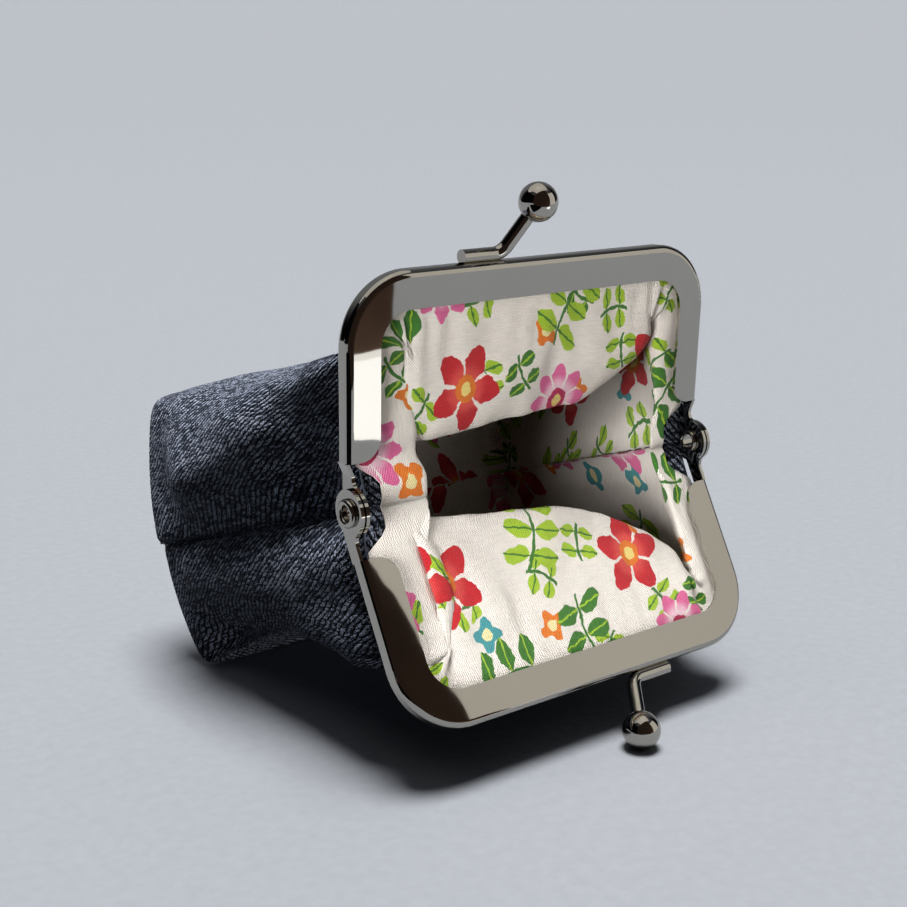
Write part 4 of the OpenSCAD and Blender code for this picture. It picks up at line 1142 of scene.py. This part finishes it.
class PURSE_OT_hardware(bpy.types.Operator):
    """Nickel on the half frames, rivets, clasp stems and balls, and paper on the cords"""

    bl_idname = "purse.hardware"
    bl_label = "Frame and clasp"

    def execute(self, context):
        colours = settings()[2]
        nickel = nickel_plate(colours)
        paper = twisted_paper(colours)
        for name, node in frame["nodes"].items():
            if name.endswith(("_frame", "_rivet", "_stem", "_ball")):
                finish = nickel
            elif name.endswith("_cord"):
                finish = paper
            else:
                continue
            node.data.materials.clear()
            node.data.materials.append(finish)
        return {"FINISHED"}


class PURSE_OT_outer_bag(bpy.types.Operator):
    """Outer twill panels of both halves"""

    bl_idname = "purse.outer_bag"
    bl_label = "Outer bag"

    def execute(self, context):
        sizes, bag_sizes, colours = settings()
        shape = BagShape(sizes, bag_sizes)
        twill = navy_twill(colours, bag_sizes)
        for side, half in ((1, "upper"), (-1, "lower")):
            layer = shape.layer(side, "outer")
            grid = shape.dress(shape.wall(layer), layer)
            edge = shape.outer_t / 2
            piece = cloth_mesh(f"{half}_twill_panel", shape, grid, side, edge, -edge, 0, grain=side)
            piece.data.materials.append(twill)
            bpy.data.collections["outside_of_the_bag"].objects.link(piece)
            if side > 0:
                bpy.data.collections["upper_side_of_the_bag"].objects.link(piece)
            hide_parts(f"{half}_outer_panel")
            hang(piece, side)
        return {"FINISHED"}


class PURSE_OT_fleece(bpy.types.Operator):
    """Fleece between the twill and the cotton"""

    bl_idname = "purse.fleece"
    bl_label = "Fleece"

    def execute(self, context):
        sizes, bag_sizes, colours = settings()
        shape = BagShape(sizes, bag_sizes)
        fleece = soft_fleece(colours)
        first = TUCK_ROWS + LIP_ROWS
        for side, half in ((1, "upper"), (-1, "lower")):
            layer = shape.layer(side, "outer")
            grid = shape.dress(shape.wall(layer), layer)
            out = -shape.outer_t / 2 - LAYER_PLAY
            piece = cloth_mesh(f"{half}_fleece_sheet", shape, grid, side, out, out - shape.fleece_t, first)
            piece.data.materials.append(fleece)
            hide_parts(f"{half}_fleece")
            hang(piece, side)
        return {"FINISHED"}


class PURSE_OT_lining(bpy.types.Operator):
    """Printed cotton lining of both halves"""

    bl_idname = "purse.lining"
    bl_label = "Lining"

    def execute(self, context):
        sizes, bag_sizes, colours = settings()
        shape = BagShape(sizes, bag_sizes)
        cotton = printed_cotton(colours, bag_sizes)
        for side, half in ((1, "upper"), (-1, "lower")):
            layer = shape.layer(side, "lining")
            grid = shape.dress(shape.wall(layer), layer)
            edge = shape.lining_t / 2
            piece = cloth_mesh(f"{half}_cotton_lining", shape, grid, side, edge, -edge, 0)
            piece.data.materials.append(cotton)
            bpy.data.collections["inside_of_the_mouth"].objects.link(piece)
            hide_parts(f"{half}_lining")
            hang(piece, side)
        return {"FINISHED"}


class PURSE_OT_threads(bpy.types.Operator):
    """Sewing threads along the side and base seams of the bag and of its lining"""

    bl_idname = "purse.threads"
    bl_label = "Seam threads"

    def execute(self, context):
        sizes, bag_sizes, colours = settings()
        shape = BagShape(sizes, bag_sizes)
        tree = sewn_stitches()
        kinds = (
            ("outer", "", "navy_thread", spun_thread("navy_thread", colours.twill), SEAM_THREAD_OUT),
            ("lining", "lining_", "pale_thread", spun_thread("pale_thread", colours.cotton), -SEAM_THREAD_OUT),
        )
        for kind, prefix, slot, material, out in kinds:
            layers = [shape.layer(side, kind) for side in (1, -1)]
            grids = [shape.dress(shape.wall(layer), layer) for layer in layers]
            first = TUCK_ROWS + LIP_ROWS
            edges = [0.5 * (grids[0][i, first:] + grids[1][i, first:]) for i in (0, -1)]
            width = grids[0][LEG_COLS:-LEG_COLS, -1, 0]
            base = np.stack([width, np.full_like(width, edges[0][-1, 1] + out), np.zeros_like(width)], 1)
            seams = {"base": base}
            for side_name, edge, sign in (("left_side", edges[0], -1), ("right_side", edges[1], 1)):
                line = edge.copy()
                line[:, 0] += sign * out
                line[:, 2] = 0
                seams[side_name] = line
            for place, line in seams.items():
                seam = bpy.data.meshes.new(f"{prefix}{place}_line")
                links = [(i, i + 1) for i in range(len(line) - 1)]
                seam.from_pydata(shape.to_table(line, 1).tolist(), links, [])
                values = {
                    "Pitch": bag_sizes.stitch_pitch, "Stitch": bag_sizes.stitch_length, "Thread": bag_sizes.thread,
                    "Material": material
                }
                piece = grow(f"{prefix}{place}_thread", seam, tree, values)
                node = f"{prefix}{place}_stitches" if kind == "outer" else f"{prefix}{place.split('_')[0]}_stitches"
                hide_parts(node)
                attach(piece, PURSE)
        return {"FINISHED"}


class PURSE_OT_fuzz(bpy.types.Operator):
    """Stray fibres on the twill"""

    bl_idname = "purse.fuzz"
    bl_label = "Stray fibres"

    def execute(self, context):
        sizes, bag_sizes, colours = settings()
        tree = loose_fibres()
        lint = spun_thread("twill_lint", colours.fleck)
        for side, half in ((1, "upper"), (-1, "lower")):
            cloth = bpy.data.objects[f"{half}_twill_panel"].data.copy()
            values = {
                "Density": FIBRES_PER_METRE, "Length": bag_sizes.fibre, "Thickness": FIBRE_RADIUS / 1000,
                "Material": lint
            }
            piece = grow(f"{half}_twill_fuzz", cloth, tree, values)
            hang(piece, side)
        return {"FINISHED"}


class PURSE_PT_sidebar(bpy.types.Panel):
    """The purse's pieces, in the order in which they are made"""

    bl_label = "Coin purse"
    bl_idname = "PURSE_PT_sidebar"
    bl_space_type = "VIEW_3D"
    bl_region_type = "UI"
    bl_category = "Purse"

    def draw(self, context):
        for operator in OPERATORS:
            self.layout.operator(operator.bl_idname)


GROUPS = (PurseFrameSizes, PurseBagSizes, PurseColours)
OPERATORS = (
    PURSE_OT_stage,
    PURSE_OT_hardware,
    PURSE_OT_outer_bag,
    PURSE_OT_fleece,
    PURSE_OT_lining,
    PURSE_OT_threads,
    PURSE_OT_fuzz,
)
CLASSES = GROUPS + OPERATORS + (PURSE_PT_sidebar,)


def register():
    """Registers the classes and puts the property groups on the scene."""
    for item in CLASSES:
        bpy.utils.register_class(item)
    bpy.types.Scene.purse_frame = bpy.props.PointerProperty(type=PurseFrameSizes)
    bpy.types.Scene.purse_bag = bpy.props.PointerProperty(type=PurseBagSizes)
    bpy.types.Scene.purse_colours = bpy.props.PointerProperty(type=PurseColours)


def unregister():
    """Takes away what register made."""
    del bpy.types.Scene.purse_colours
    del bpy.types.Scene.purse_bag
    del bpy.types.Scene.purse_frame
    for item in reversed(CLASSES):
        bpy.utils.unregister_class(item)


def main():
    """Makes the purse and its stage."""
    register()
    bpy.ops.purse.stage()
    bpy.ops.purse.hardware()
    bpy.ops.purse.outer_bag()
    bpy.ops.purse.fleece()
    bpy.ops.purse.lining()
    bpy.ops.purse.threads()
    bpy.ops.purse.fuzz()


if __name__ == "__main__":
    main()
